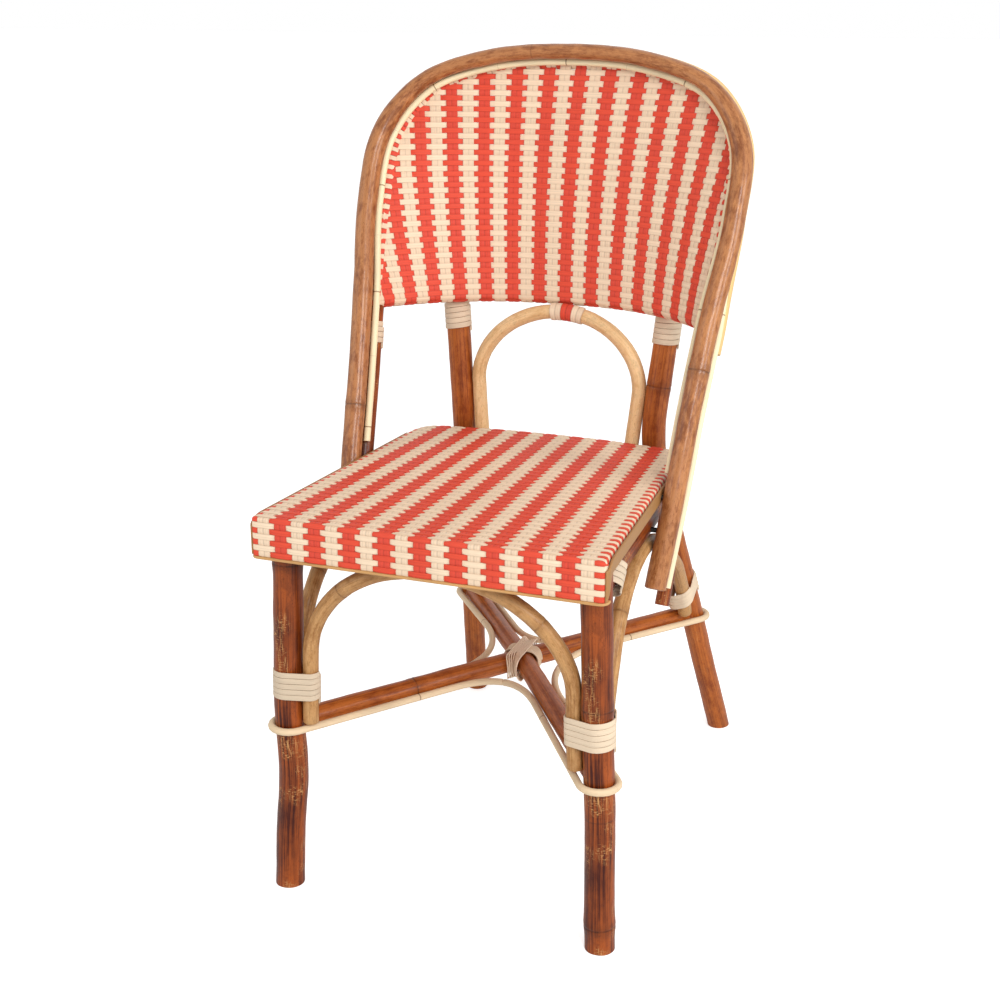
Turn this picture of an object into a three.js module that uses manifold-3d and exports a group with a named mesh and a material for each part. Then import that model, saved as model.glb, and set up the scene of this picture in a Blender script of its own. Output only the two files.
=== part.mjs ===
import * as THREE from 'three';
import { mergeVertices } from 'three/addons/utils/BufferGeometryUtils.js';
import Module from 'manifold-3d';

// A rattan bistro side chair with a woven seat and a woven back that wraps round the sitter.
// Millimetres, +Z up. The chair faces -Y and its origin is on the floor, under its middle.

const wasm = await Module();
wasm.setup();

// Clearance between pieces that touch, and how far a cutting tool runs past what it cuts
const fit = 0.3;
const overrun = 25;

// Seat, with Y counted back from its front edge
const seatHeight = 450;
const seatFrontWidth = 384;
const seatBackWidth = 336;
const seatDepth = 409;
const seatBackBow = 10;
const seatFaceHeight = 44;
const seatLipHeight = 20;
const seatFrontCorner = 9;
const seatBackCorner = 42;
const seatEdgeRound = 5;
const frameCorner = 26;
const lipSlope = 78;
const weaveThickness = 3;
const sideBandThickness = 2.5;
const frontCaneHeight = 3;
const frontCaneDepth = 9;

// Poles and canes, as radii
const frontLegRadius = 16.3;
const rearLegRadius = 14.3;
const hoopRadius = 12.5;
const backFrameRadius = 11;
const backRailRadius = 8;
const seatFrameRadius = 9;
const frontRailRadius = 11.5;
const sideRailRadius = 10.5;
const archRadius = 8.7;
const stretcherRadius = 12;
const beadRadius = 4;
const legCaneRadius = 4;

// Legs: their tops lie under the seat's corners, and their feet are splayed
const frontTopInset = 22.5;
const frontFootOut = 13.8;
const frontFootForward = 4.5;
const rearBendInset = 48;
const rearFootOut = 58.9;
const rearTopOut = 14.5;
const rearFootBehind = 193.2;
const rearBendBehind = 7;
const rearTopBehind = 21;
const rearBendBelowSeat = 3.5;
const rearBendReach = 45;

// Back hoop and the frame behind it
const hoopAboveSeat = 446;
const hoopBelowSeat = 102.5;
const hoopEndBeforeBack = 198.8;
const hoopLean = 231;
const hoopSideGap = 1.1;
const hoopSetBack = 27.2;
const hoopSetIn = 3;
const backFrameOverhang = 8;

// Woven back
const backGap = 151;
const backMiddleBehind = 20;
const backMiddleSwell = 8;
const bandThickness = 2.2;
const bandOverhang = 20;
const tabWidth = 46;
const tabShift = 9;

// Braces
const railBelowSeat = 46;
const braceFootZ = 204;
const backArchFootDrop = 5;
const frontBindingAbove = 44;
const rearBindingAbove = 22;
const bindingBelowBack = 3;
const caneBelowStretcher = 3;
const frontFilletReach = 90;
const sideFilletReach = 100;

// Cane bindings: a flat strip wound in close turns
const stripWidth = 6;
const stripThickness = 1.6;
const stripSpace = 0.5;

// Bolts that hold the hoop to the seat
const boltRadius = 3;
const boltHeadRadius = 6.5;
const boltHeadHeight = 4;
const boltGrip = 9;

// Counts
const poleSides = 10;
const archSides = 8;
const caneSides = 6;
const boltSides = 8;
const loopSteps = 14;

const chair = new THREE.Group();

const finishes = {
  darkPole: { color: 0x7a3f22, roughness: 0.36, metalness: 0 },
  brownPole: { color: 0xa9683a, roughness: 0.34, metalness: 0 },
  tanPole: { color: 0xc19a5e, roughness: 0.42, metalness: 0 },
  paleCane: { color: 0xe9d6a6, roughness: 0.48, metalness: 0 },
  honeyCane: { color: 0xd9a765, roughness: 0.5, metalness: 0 },
  creamCane: { color: 0xdfccae, roughness: 0.6, metalness: 0 },
  weave: { color: 0xdf8a72, roughness: 0.62, metalness: 0 },
  steel: { color: 0x8a8a88, roughness: 0.35, metalness: 1 },
};

function piece(name, geometry, finish) {
  const mesh = new THREE.Mesh(geometry, new THREE.MeshStandardMaterial(finishes[finish]));
  mesh.name = name;
  chair.add(mesh);
}

const vec = (x, y, z) => new THREE.Vector3(x, y, z);
const up = vec(0, 0, 1);
const behind = vec(0, 1, 0);
const east = vec(1, 0, 0);
const lerp = THREE.MathUtils.lerp;
const radians = THREE.MathUtils.degToRad;

// Left is at -X, right at +X
const sides = [
  { name: 'left', sign: -1 },
  { name: 'right', sign: 1 },
];

// A geometry as a solid, with its shared corners joined and its empty triangles left out
function toSolid(geometry) {
  const bare = geometry.clone();
  bare.deleteAttribute('normal');
  bare.deleteAttribute('uv');
  const joined = mergeVertices(bare);
  const corners = joined.index.array;
  const kept = [];
  for (let i = 0; i < corners.length; i += 3) {
    const [a, b, c] = [corners[i], corners[i + 1], corners[i + 2]];
    if (a !== b && b !== c && c !== a) kept.push(a, b, c);
  }
  return new wasm.Manifold(new wasm.Mesh({
    numProp: 3,
    vertProperties: new Float32Array(joined.attributes.position.array),
    triVerts: new Uint32Array(kept),
  }));
}

function toGeometry(solid) {
  const mesh = solid.getMesh();
  const geometry = new THREE.BufferGeometry();
  geometry.setAttribute('position', new THREE.BufferAttribute(mesh.vertProperties, 3));
  geometry.setIndex(new THREE.BufferAttribute(mesh.triVerts, 1));
  return geometry;
}

function cut(geometry, ...tools) {
  return toGeometry(tools.reduce((solid, tool) => solid.subtract(toSolid(tool)), toSolid(geometry)));
}

function join(first, ...others) {
  return toGeometry(others.reduce((solid, other) => solid.add(toSolid(other)), toSolid(first)));
}

// Even shares from one to another, without the last
function evenSteps(from, to, count) {
  return Array.from({ length: count }, (_, i) => lerp(from, to, i / count));
}

// Shares of a joined path, with so many even steps in each of its curves
function runShares(path, counts) {
  const ends = path.getCurveLengths();
  const whole = ends[ends.length - 1];
  const startOf = (k) => (k > 0 ? ends[k - 1] : 0);
  return counts.flatMap((count, k) => evenSteps(startOf(k) / whole, ends[k] / whole, count)).concat(1);
}

// A frame on a path: beside lies nearest to the reference, and across is square to it
function frameOn(point, along, reference) {
  const beside = reference.clone().addScaledVector(along, -reference.dot(along)).normalize();
  return { point, along, beside, across: beside.clone().cross(along) };
}

function framesOn(curve, shares, reference = behind) {
  return shares.map((share) => frameOn(curve.getPointAt(share), curve.getTangentAt(share), reference));
}

function shifted(frame, inward, back) {
  const point = frame.point.clone()
    .addScaledVector(frame.across, inward)
    .addScaledVector(frame.beside, back);
  return { ...frame, point };
}

// Bends a straight geometry, which has one station per unit of its Z, onto a row of frames
function bend(geometry, frames) {
  const position = geometry.attributes.position;
  for (let i = 0; i < position.count; i += 1) {
    const frame = frames[Math.round(position.getZ(i))];
    const { point } = shifted(frame, position.getX(i), position.getY(i));
    position.setXYZ(i, point.x, point.y, point.z);
  }
  return geometry;
}

function round(frames, radii, around) {
  const profile = radii.map((radius, i) => new THREE.Vector2(radius, i));
  profile.unshift(new THREE.Vector2(0, 0));
  profile.push(new THREE.Vector2(0, radii.length - 1));
  return bend(new THREE.LatheGeometry(profile, around).rotateX(Math.PI / 2), frames);
}

function strip(frames, shape) {
  const count = frames.length - 1;
  const settings = { depth: count, steps: count, bevelEnabled: false };
  return bend(new THREE.ExtrudeGeometry(shape, settings), frames);
}

// A pole or cane along a curve, with a low swelling at each of its growth rings
const ringSwellShare = 0.05;
const ringReachShare = 0.45;

function pole(curve, radius, options = {}) {
  const { shares = [0, 1], rings = [], around = poleSides, grow = 0, reference = behind } = options;
  const reach = (ringReachShare * radius) / curve.getLength();
  const plain = shares.filter((share) => share === 0 || share === 1
    || rings.every((ring) => Math.abs(ring - share) > 2 * reach));
  const all = plain.concat(rings.flatMap((ring) => [ring - reach, ring, ring + reach]));
  all.sort((a, b) => a - b);
  const swell = (share) => (rings.includes(share) ? ringSwellShare * radius : 0);
  const radii = all.map((share) => radius + swell(share) + grow);
  return round(framesOn(curve, all, reference), radii, around);
}

function line(from, to) {
  return new THREE.LineCurve3(from, to);
}

// A path of straight runs with a rounded bend at each inner point
function bentPath(points, reach) {
  const path = new THREE.CurvePath();
  let from = points[0];
  for (let i = 1; i < points.length - 1; i += 1) {
    const corner = points[i];
    const enter = corner.clone().add(from.clone().sub(corner).setLength(reach));
    const leave = corner.clone().add(points[i + 1].clone().sub(corner).setLength(reach));
    path.add(line(from, enter));
    path.add(new THREE.QuadraticBezierCurve3(enter, corner, leave));
    from = leave;
  }
  path.add(line(from, points[points.length - 1]));
  return path;
}

// A part of a curve, between two shares of its length
class PartOf extends THREE.Curve {
  constructor(whole, from, to) {
    super();
    Object.assign(this, { whole, from, to });
  }

  getPoint(share, target = vec(0, 0, 0)) {
    return target.copy(this.whole.getPointAt(lerp(this.from, this.to, share)));
  }
}

// Heights and places that several pieces share
const seatBottomZ = seatHeight - seatFaceHeight;
const lipBottomZ = seatHeight - seatLipHeight;
const seatFrameZ = seatHeight - weaveThickness - fit - seatFrameRadius;
const sideRailZ = seatHeight - railBelowSeat;
const backBottomZ = seatHeight + backGap;
const seatTaper = (seatFrontWidth - seatBackWidth) / 2 / seatDepth;
const halfWidthAt = (y) => seatFrontWidth / 2 - seatTaper * y;

// Front legs: straight, splayed a little, behind the front rail and under the seat frame
const frontRailY = weaveThickness + fit + frontRailRadius;
const frontRailZ = seatFrameZ - seatFrameRadius - fit - frontRailRadius;
const frontTop = {
  x: seatFrontWidth / 2 - frontTopInset,
  y: frontRailY + frontRailRadius + fit + frontLegRadius,
  z: seatFrameZ - seatFrameRadius - 2 * fit,
};

function frontLegAt(sign, z) {
  const share = z / frontTop.z;
  const x = lerp(frontTop.x + frontFootOut, frontTop.x, share);
  return vec(sign * x, lerp(frontTop.y - frontFootForward, frontTop.y, share), z);
}

const frontRingShares = [0.11, 0.447];

function frontLeg(sign, grow = 0) {
  const path = line(frontLegAt(sign, -overrun), frontLegAt(sign, frontTop.z));
  return pole(path, frontLegRadius, { rings: frontRingShares, grow });
}

// Rear legs: splayed back and out below the seat, bent at the seat, nearly upright above it
const rearBendX = seatBackWidth / 2 - rearBendInset;
const rearBend = vec(rearBendX, seatDepth + rearBendBehind, seatHeight - rearBendBelowSeat);
const rearFoot = vec(rearBendX + rearFootOut, seatDepth + rearFootBehind, 0);
const rearTop = vec(rearBendX + rearTopOut, seatDepth + rearTopBehind, backBottomZ - fit);

function rearLegAt(sign, z) {
  return rearFoot.clone().lerp(rearBend, z / rearBend.z).multiply(vec(sign, 1, 1));
}

function upperLegAt(sign, z) {
  const share = (z - rearBend.z) / (rearTop.z - rearBend.z);
  return rearBend.clone().lerp(rearTop, share).multiply(vec(sign, 1, 1));
}

const rearRingShares = [0.3, 0.92];

function rearLeg(sign, grow = 0) {
  const points = [rearLegAt(sign, -overrun), upperLegAt(sign, rearBend.z), upperLegAt(sign, rearTop.z)];
  const path = bentPath(points, rearBendReach);
  return pole(path, rearLegRadius, { shares: runShares(path, [1, 5, 1]), rings: rearRingShares, grow });
}

// Everything under the floor is cut away, so that each foot stands flat
const floorSpan = 2 * (rearFoot.y + frontTop.x);
const floorCut = new THREE.BoxGeometry(floorSpan, floorSpan, 2 * overrun).translate(0, 0, -overrun);
const legTools = {};
for (const { name, sign } of sides) {
  piece(`front_leg_${name}`, cut(frontLeg(sign), floorCut), 'darkPole');
  piece(`rear_leg_${name}`, cut(rearLeg(sign), floorCut), 'brownPole');
  legTools[name] = { front: frontLeg(sign, fit), rear: rearLeg(sign, fit) };
}

// Back hoop: its outline seen from the front, and its lean and bow seen from the side
const hoopWidthShares = [0, 0.4365, 0.784, 0.98, 1, 0.9505, 0.9098, 0.8802, 0.843];
const hoopRiseShares = [1, 0.9857, 0.936, 0.831, 0.6815, 0.5121, 0.3362, 0.1648, 0];
const hoopStraightShare = 0.87;
const hoopEndZ = seatHeight - hoopBelowSeat;
const hoopTopZ = seatHeight + hoopAboveSeat;

function hoopY(rise) {
  const bowed = hoopStraightShare * rise + (1 - hoopStraightShare) * rise ** 2;
  return seatDepth - hoopEndBeforeBack + hoopLean * bowed;
}

const armWidthShare = hoopWidthShares[7];
const armRiseShare = hoopRiseShares[7];
const armX = halfWidthAt(hoopY(armRiseShare)) + fit + sideBandThickness + hoopSideGap + hoopRadius;
const hoopHalfWidth = armX / armWidthShare;
const halfHoop = hoopWidthShares.map((width, i) => vec(
  width * hoopHalfWidth,
  hoopY(hoopRiseShares[i]),
  lerp(hoopEndZ, hoopTopZ, hoopRiseShares[i]),
));
const hoopCurve = new THREE.CatmullRomCurve3([
  ...halfHoop.slice(1).reverse().map((p) => p.clone().multiply(vec(-1, 1, 1))),
  ...halfHoop,
]);

// All that follows the hoop has its stations at these shares, closer round the shoulders
const middleShare = 0.5;
const shoulderShare = 0.3;
const hoopShares = [
  ...evenSteps(0, shoulderShare, 7),
  ...evenSteps(shoulderShare, 1 - shoulderShare, 20),
  ...evenSteps(1 - shoulderShare, 1, 7),
  1,
];

function besideHoop(inward, back, from, to) {
  const shares = [from, ...hoopShares.filter((share) => share > from && share < to), to];
  return framesOn(hoopCurve, shares).map((frame) => shifted(frame, inward, back));
}

// The share of the hoop's length at which its left arm passes a height
const searchTurns = 30;

function hoopShareAt(z) {
  let [low, high] = [0, middleShare];
  for (let i = 0; i < searchTurns; i += 1) {
    const middle = (low + high) / 2;
    if (hoopCurve.getPointAt(middle).z < z) low = middle;
    else high = middle;
  }
  return low;
}

const hoopRingShares = [0.129, 0.5, 0.772];

function backFrame(radius) {
  const frames = besideHoop(hoopSetIn, hoopSetBack, 0, 1);
  const [first, last] = [frames[0], frames[frames.length - 1]];
  first.point.addScaledVector(first.along, -backFrameOverhang);
  last.point.addScaledVector(last.along, backFrameOverhang);
  return round(frames, frames.map(() => radius), poleSides);
}

piece('back_frame', backFrame(backFrameRadius), 'brownPole');

// Beads: round canes that lie in the two grooves between the hoop and the woven frame
const innerGrooveShare = 1.1;
const wrapRadius = backFrameRadius + fit + weaveThickness;
const toHoop = hoopRadius + fit + beadRadius;
const toWrap = wrapRadius + fit + beadRadius;
const poleSpacing = Math.hypot(hoopSetIn, hoopSetBack);

// Where a bead rests in a groove: way is 1 for the inner one and -1 for the outer one
function groove(way) {
  const toWoven = way > 0 ? toWrap * innerGrooveShare : toWrap;
  const along = (toHoop ** 2 - toWoven ** 2 + poleSpacing ** 2) / (2 * poleSpacing);
  const aside = Math.sqrt(toHoop ** 2 - along ** 2);
  const inward = (along * hoopSetIn + way * aside * hoopSetBack) / poleSpacing;
  return [inward, (along * hoopSetBack - way * aside * hoopSetIn) / poleSpacing];
}

function bead(way, from) {
  const frames = besideHoop(...groove(way), from, 1 - from);
  return round(frames, frames.map(() => beadRadius), caneSides);
}

piece('inner_bead', bead(1, hoopShareAt(seatHeight + hoopRadius)), 'paleCane');
piece('outer_bead', bead(-1, 0), 'paleCane');

// Part of a ring, seen along the back frame: angles run from its front to its outer side.
// Its inner flats clear the pole inside it.
function ringSector(inner, thickness, from, to, count) {
  const stretch = 1 / Math.cos((to - from) / count / 2);
  const at = (radius, i) => {
    const angle = lerp(from, to, i / count);
    return [-Math.sin(angle) * radius * stretch, -Math.cos(angle) * radius * stretch];
  };
  const shape = new THREE.Shape();
  shape.moveTo(...at(inner, 0));
  for (let i = 1; i <= count; i += 1) shape.lineTo(...at(inner, i));
  for (let i = count; i >= 0; i -= 1) shape.lineTo(...at(inner + thickness, i));
  shape.closePath();
  return shape;
}

const backRailZ = backBottomZ + weaveThickness + fit + backRailRadius;
const cornerShare = hoopShareAt(backRailZ);
const wrapFrames = besideHoop(hoopSetIn, hoopSetBack, cornerShare, 1 - cornerShare);
const wrapFrom = radians(-50);
const wrapTo = radians(175);
const wrapSides = 6;
const wrapShape = ringSector(backFrameRadius + fit, weaveThickness, wrapFrom, wrapTo, wrapSides);
const wrapOutside = wrapRadius / Math.cos((wrapTo - wrapFrom) / wrapSides / 2);
const bandShape = ringSector(wrapOutside + fit, bandThickness, radians(64), radians(132), 3);
const bandShare = hoopShareAt(backRailZ - bandOverhang);
const bandFrames = besideHoop(hoopSetIn, hoopSetBack, bandShare, 1 - bandShare);
piece('back_edge_band', strip(bandFrames, bandShape), 'honeyCane');

// The edge of the woven sheet, from its lower corner to its top, on the right-hand side
const wrapMiddle = backFrameRadius + fit + weaveThickness / 2;
const edgeLowAngle = radians(48);
const edgeTopAngle = radians(22);
const edgeCount = 60;
const edgeShares = [...evenSteps(1 - cornerShare, middleShare, edgeCount), middleShare];
const sheetEdge = framesOn(hoopCurve, edgeShares).map((frame, i) => {
  const angle = lerp(edgeLowAngle, edgeTopAngle, i / edgeCount);
  const inward = hoopSetIn + wrapMiddle * Math.sin(angle);
  return shifted(frame, inward, hoopSetBack - wrapMiddle * Math.cos(angle)).point;
});
const widest = sheetEdge.reduce((best, p, i) => (p.x > sheetEdge[best].x ? i : best), 0);
const sheetTop = sheetEdge[edgeCount];

// The point of the sheet's edge at a height
function edgeAt(z) {
  let i = 1;
  while (i < edgeCount && sheetEdge[i].z < z) i += 1;
  const [a, b] = [sheetEdge[i - 1], sheetEdge[i]];
  return a.clone().lerp(b, THREE.MathUtils.clamp((z - a.z) / (b.z - a.z), 0, 1));
}

// The height at which the upper part of the sheet's edge is this far from the middle
function edgeTopAt(x) {
  let i = widest + 1;
  while (i < edgeCount && sheetEdge[i].x > x) i += 1;
  const [a, b] = [sheetEdge[i - 1], sheetEdge[i]];
  return lerp(a.z, b.z, THREE.MathUtils.clamp((x - a.x) / (b.x - a.x), 0, 1));
}

// The woven back wraps round the sitter: its sides curve forward to the hoop and end in the wrap
const wrapPower = 2.5;
const sheetReachShare = 1.015;

function sheetAt(x, z) {
  const rise = (z - backBottomZ) / (sheetTop.z - backBottomZ);
  const middle = lerp(seatDepth + backMiddleBehind, sheetTop.y, rise)
    + backMiddleSwell * Math.sin(Math.PI * rise);
  const edge = edgeAt(z);
  const out = Math.min(Math.abs(x) / Math.max(edge.x, fit), sheetReachShare);
  const drop = middle - edge.y;
  const slope = (-Math.sign(x) * drop * wrapPower * out ** (wrapPower - 1)) / edge.x;
  return { y: middle - drop * out ** wrapPower, slope };
}

// A column's distance from the middle follows the arm up to its widest point
function columnX(share, z) {
  return share * (z < sheetEdge[widest].z ? edgeAt(z).x : sheetEdge[widest].x);
}

// The middle line of the bottom rail, which curves round the sitter too
const backRailReach = weaveThickness / 2 + fit + backRailRadius;

function backRailAt(share) {
  const x = columnX(share, backRailZ);
  const { y, slope } = sheetAt(x, backRailZ);
  const outward = vec(-slope, 1, 0).normalize();
  return { point: vec(x, y, backRailZ).addScaledVector(outward, backRailReach), outward };
}

// The middle surface of the sheet: first a roll round the bottom rail, then the rise to the hoop
const sheetColumns = 22;
const sheetRows = 15;
const rollRows = 6;
const rollTurn = radians(190);
const rollReach = backRailReach / Math.cos(rollTurn / rollRows / 2);

function sheetPoint(share, row) {
  if (row <= rollRows) {
    const turn = rollTurn * (1 - row / rollRows);
    const { point, outward } = backRailAt(share);
    return point
      .addScaledVector(outward, -rollReach * Math.cos(turn))
      .addScaledVector(up, -rollReach * Math.sin(turn));
  }
  const top = edgeTopAt(Math.abs(share) * sheetEdge[widest].x) + weaveThickness;
  const z = lerp(backRailZ, top, (row - rollRows) / (sheetRows - rollRows));
  const x = columnX(share, z);
  return vec(x, sheetAt(x, z).y, z);
}

// Columns stand closer toward the sheet's edges
const columnShare = (column) => sheetReachShare * Math.sin((Math.PI / 2) * column);
const normalStep = 0.02;

function wovenSheet() {
  const sheet = new THREE.BoxGeometry(2, weaveThickness, sheetRows, sheetColumns, 1, sheetRows);
  const position = sheet.attributes.position;
  for (let i = 0; i < position.count; i += 1) {
    const column = position.getX(i);
    const row = position.getZ(i) + sheetRows / 2;
    const share = columnShare(column);
    const point = sheetPoint(share, row);
    const east = sheetPoint(share + normalStep, row).sub(sheetPoint(share - normalStep, row));
    const north = sheetPoint(share, Math.min(row + normalStep, sheetRows))
      .sub(sheetPoint(share, Math.max(row - normalStep, 0)));
    point.addScaledVector(north.cross(east).normalize(), position.getY(i));
    position.setXYZ(i, point.x, point.y, point.z);
  }
  return sheet;
}

const insideWrap = backFrame(wrapMiddle);
const sheetToWrap = cut(wovenSheet(), insideWrap);
const wovenBack = join(strip(wrapFrames, wrapShape), sheetToWrap);
piece('woven_back', wovenBack, 'weave');

function backRail(radius) {
  const shares = Array.from({ length: sheetColumns + 1 }, (_, i) => columnShare(2 * (i / sheetColumns) - 1));
  const frames = shares.map((share) => {
    const { point, outward } = backRailAt(share);
    return frameOn(point, outward.clone().cross(up), up);
  });
  return round(frames, frames.map(() => radius), archSides);
}

piece('back_bottom_rail', cut(backRail(backRailRadius), backFrame(wrapOutside + fit)), 'brownPole');

// An arch: up from its feet along two poles, and over in one sweep
function archPath(foot, spring, top, liftShare, reachShare) {
  const lift = (top.z - spring.z) * liftShare;
  const reach = vec(spring.x * reachShare, 0, 0);
  const far = (point) => point.clone().multiply(vec(-1, 1, 1));
  const raised = spring.clone().addScaledVector(up, lift);
  const path = new THREE.CurvePath();
  path.add(line(far(foot), far(spring)));
  path.add(new THREE.CubicBezierCurve3(far(spring), far(raised), top.clone().sub(reach), top));
  path.add(new THREE.CubicBezierCurve3(top, top.clone().add(reach), raised, spring));
  path.add(line(spring, foot));
  return path;
}

// Seat outline, seen from above, drawn in by an inset; it starts in the middle of the back
function seatOutline(inset, frontCorner) {
  const half = (y) => halfWidthAt(y) - inset;
  const backY = seatDepth - inset;
  const cornerY = backY - seatBackBow;
  const cornerX = half(cornerY) - seatBackCorner + inset;
  const sideY = seatDepth - seatBackBow - seatBackCorner;
  const turnY = inset + frontCorner;
  const shape = new THREE.Shape();
  shape.moveTo(0, backY);
  shape.quadraticCurveTo(-cornerX / 2, backY, -cornerX, cornerY);
  shape.quadraticCurveTo(-half(cornerY), cornerY, -half(sideY), sideY);
  shape.lineTo(-half(turnY), turnY);
  shape.quadraticCurveTo(-half(inset), inset, -half(inset) + frontCorner, inset);
  shape.lineTo(half(inset) - frontCorner, inset);
  shape.quadraticCurveTo(half(inset), inset, half(turnY), turnY);
  shape.lineTo(half(sideY), sideY);
  shape.quadraticCurveTo(half(cornerY), cornerY, cornerX, cornerY);
  shape.quadraticCurveTo(cornerX / 2, backY, 0, backY);
  return shape;
}

// Seat frame: one pole bent round under the weave, its ends butted in the middle of the back
const frameInset = weaveThickness + fit + seatFrameRadius;

function seatFrame() {
  const outline = seatOutline(frameInset, frameCorner);
  const shares = runShares(outline, [3, 5, 1, 5, 1, 5, 1, 5, 3]);
  const frames = shares.map((share) => {
    const [at, way] = [outline.getPointAt(share), outline.getTangentAt(share)];
    return frameOn(vec(at.x, at.y, seatFrameZ), vec(way.x, way.y, 0), up);
  });
  frames[0].point.x -= fit / 2;
  frames[frames.length - 1].point.x += fit / 2;
  return round(frames, frames.map(() => seatFrameRadius), archSides);
}

// Side rail: one pole bent into a U from leg to leg, past the front of the rear legs
const sideRailInset = weaveThickness + 2 * fit + stripThickness + sideRailRadius;
const sideRailX = (y) => halfWidthAt(y) - sideRailInset;
const rearSlant = Math.atan2(rearFootBehind - rearBendBehind, rearBend.z);
const railFrontY = frontLegAt(1, sideRailZ).y;
const railBackY = rearLegAt(1, sideRailZ).y
  - (rearLegRadius + sideRailRadius + fit) / Math.cos(rearSlant);
const sideRailPath = bentPath([
  vec(-sideRailX(railFrontY), railFrontY, sideRailZ),
  vec(-sideRailX(railBackY), railBackY, sideRailZ),
  vec(sideRailX(railBackY), railBackY, sideRailZ),
  vec(sideRailX(railFrontY), railFrontY, sideRailZ),
], seatBackCorner);

function sideRail(grow = 0) {
  const shares = runShares(sideRailPath, [2, 6, 1, 6, 2]);
  return pole(sideRailPath, sideRailRadius, { shares, around: archSides, reference: up, grow });
}

// Front rail, inside the woven front
const frontRailHalf = seatFrontWidth / 2 - weaveThickness - fit - seatFrontCorner;
const frontRail = pole(
  line(vec(-frontRailHalf, frontRailY, frontRailZ), vec(frontRailHalf, frontRailY, frontRailZ)),
  frontRailRadius,
);
piece('front_rail', frontRail, 'brownPole');

// Stretchers: one runs from leg to leg, and two halves of the other butt against it
const stretcherEnds = {
  frontLeft: frontLegAt(-1, braceFootZ - stretcherRadius / 3),
  frontRight: frontLegAt(1, braceFootZ - (3 / 4) * stretcherRadius),
  rearRight: rearLegAt(1, braceFootZ - stretcherRadius),
  rearLeft: rearLegAt(-1, braceFootZ - 2 * stretcherRadius),
};

// The share of the line from a to b at which it passes over or under the line from c to d
function crossingShare(a, b, c, d) {
  const [r, s, w] = [b.clone().sub(a), d.clone().sub(c), c.clone().sub(a)];
  return (w.x * s.y - w.y * s.x) / (r.x * s.y - r.y * s.x);
}

const { frontLeft, frontRight, rearRight, rearLeft } = stretcherEnds;
const crossing = frontLeft.clone()
  .lerp(rearRight, crossingShare(frontLeft, rearRight, frontRight, rearLeft));
const throughRingShare = 0.27;

function stretcher(from, to, rings = [], grow = 0) {
  return pole(line(from, to), stretcherRadius, { rings, reference: up, grow });
}

const throughTool = stretcher(frontLeft, rearRight, [], fit);
const stretcherTools = [
  throughTool,
  stretcher(frontRight, crossing, [], fit),
  stretcher(rearLeft, crossing, [], fit),
];
piece('stretcher_through', cut(
  stretcher(frontLeft, rearRight, [throughRingShare]),
  legTools.left.front,
  legTools.right.rear,
), 'brownPole');
piece('stretcher_front_half', cut(
  stretcher(frontRight, crossing),
  legTools.right.front,
  throughTool,
), 'brownPole');
piece('stretcher_rear_half', cut(
  stretcher(rearLeft, crossing),
  legTools.left.rear,
  throughTool,
), 'brownPole');

// Front arch, standing against the front legs and rising to the front rail
const archFromLeg = frontLegRadius + fit + archRadius;
const archFromRail = frontRailRadius + fit + archRadius;
const archRest = radians(45);
const frontArchTop = vec(
  0,
  frontRailY + archFromRail * Math.cos(archRest),
  frontRailZ - archFromRail * Math.sin(archRest),
);
const frontSpringShare = 0.41;
const frontLiftShare = 0.4;
const frontReachShare = 0.66;
const frontArchRingShares = [0.305, 0.715];
const frontSpringZ = lerp(braceFootZ, frontArchTop.z, frontSpringShare);
const insideLeg = vec(-archFromLeg, 0, 0);
const frontArchPath = archPath(
  frontLegAt(1, braceFootZ).add(insideLeg),
  frontLegAt(1, frontSpringZ).add(insideLeg),
  frontArchTop,
  frontLiftShare,
  frontReachShare,
);
piece('front_arch', cut(pole(frontArchPath, archRadius, {
  shares: runShares(frontArchPath, [1, 9, 9, 1]),
  rings: frontArchRingShares,
  around: archSides,
}), ...stretcherTools), 'tanPole');

// Side arches: up behind the front leg, over under the side rail, down to the rear leg
const sideArchTopZ = sideRailZ - sideRailRadius - fit - archRadius;
const sideArchRunShares = [0.041, 0.115, 0.236, 0.38, 0.512, 0.644, 0.752, 0.832, 0.887, 0.95];
const sideArchRiseShares = [0.587, 0.82, 0.964, 1, 0.931, 0.781, 0.62, 0.493, 0.366, 0.2];
const archBeforeLeg = (rearLegRadius + fit + archRadius) / Math.cos(rearSlant);

function sideArchPath(sign) {
  const frontAt = (z) => frontLegAt(sign, z).add(vec(0, archFromLeg, 0));
  const foot = frontAt(braceFootZ);
  const end = rearLegAt(sign, braceFootZ).add(vec(0, -archBeforeLeg, 0));
  const over = sideArchRunShares.map((run, i) => vec(
    lerp(foot.x, end.x, run),
    lerp(foot.y, end.y, run),
    lerp(braceFootZ, sideArchTopZ, sideArchRiseShares[i]),
  ));
  return new THREE.CatmullRomCurve3([foot, frontAt(braceFootZ + frontBindingAbove), ...over, end]);
}

function sideArch(sign) {
  const shares = [...evenSteps(0, 1, 22), 1];
  return pole(sideArchPath(sign), archRadius, { shares, around: archSides, reference: east });
}

for (const { name, sign } of sides) {
  piece(`side_arch_${name}`, cut(
    sideArch(sign),
    sideRail(fit),
    legTools[name].front,
    legTools[name].rear,
    ...stretcherTools,
  ), 'tanPole');
}

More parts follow.
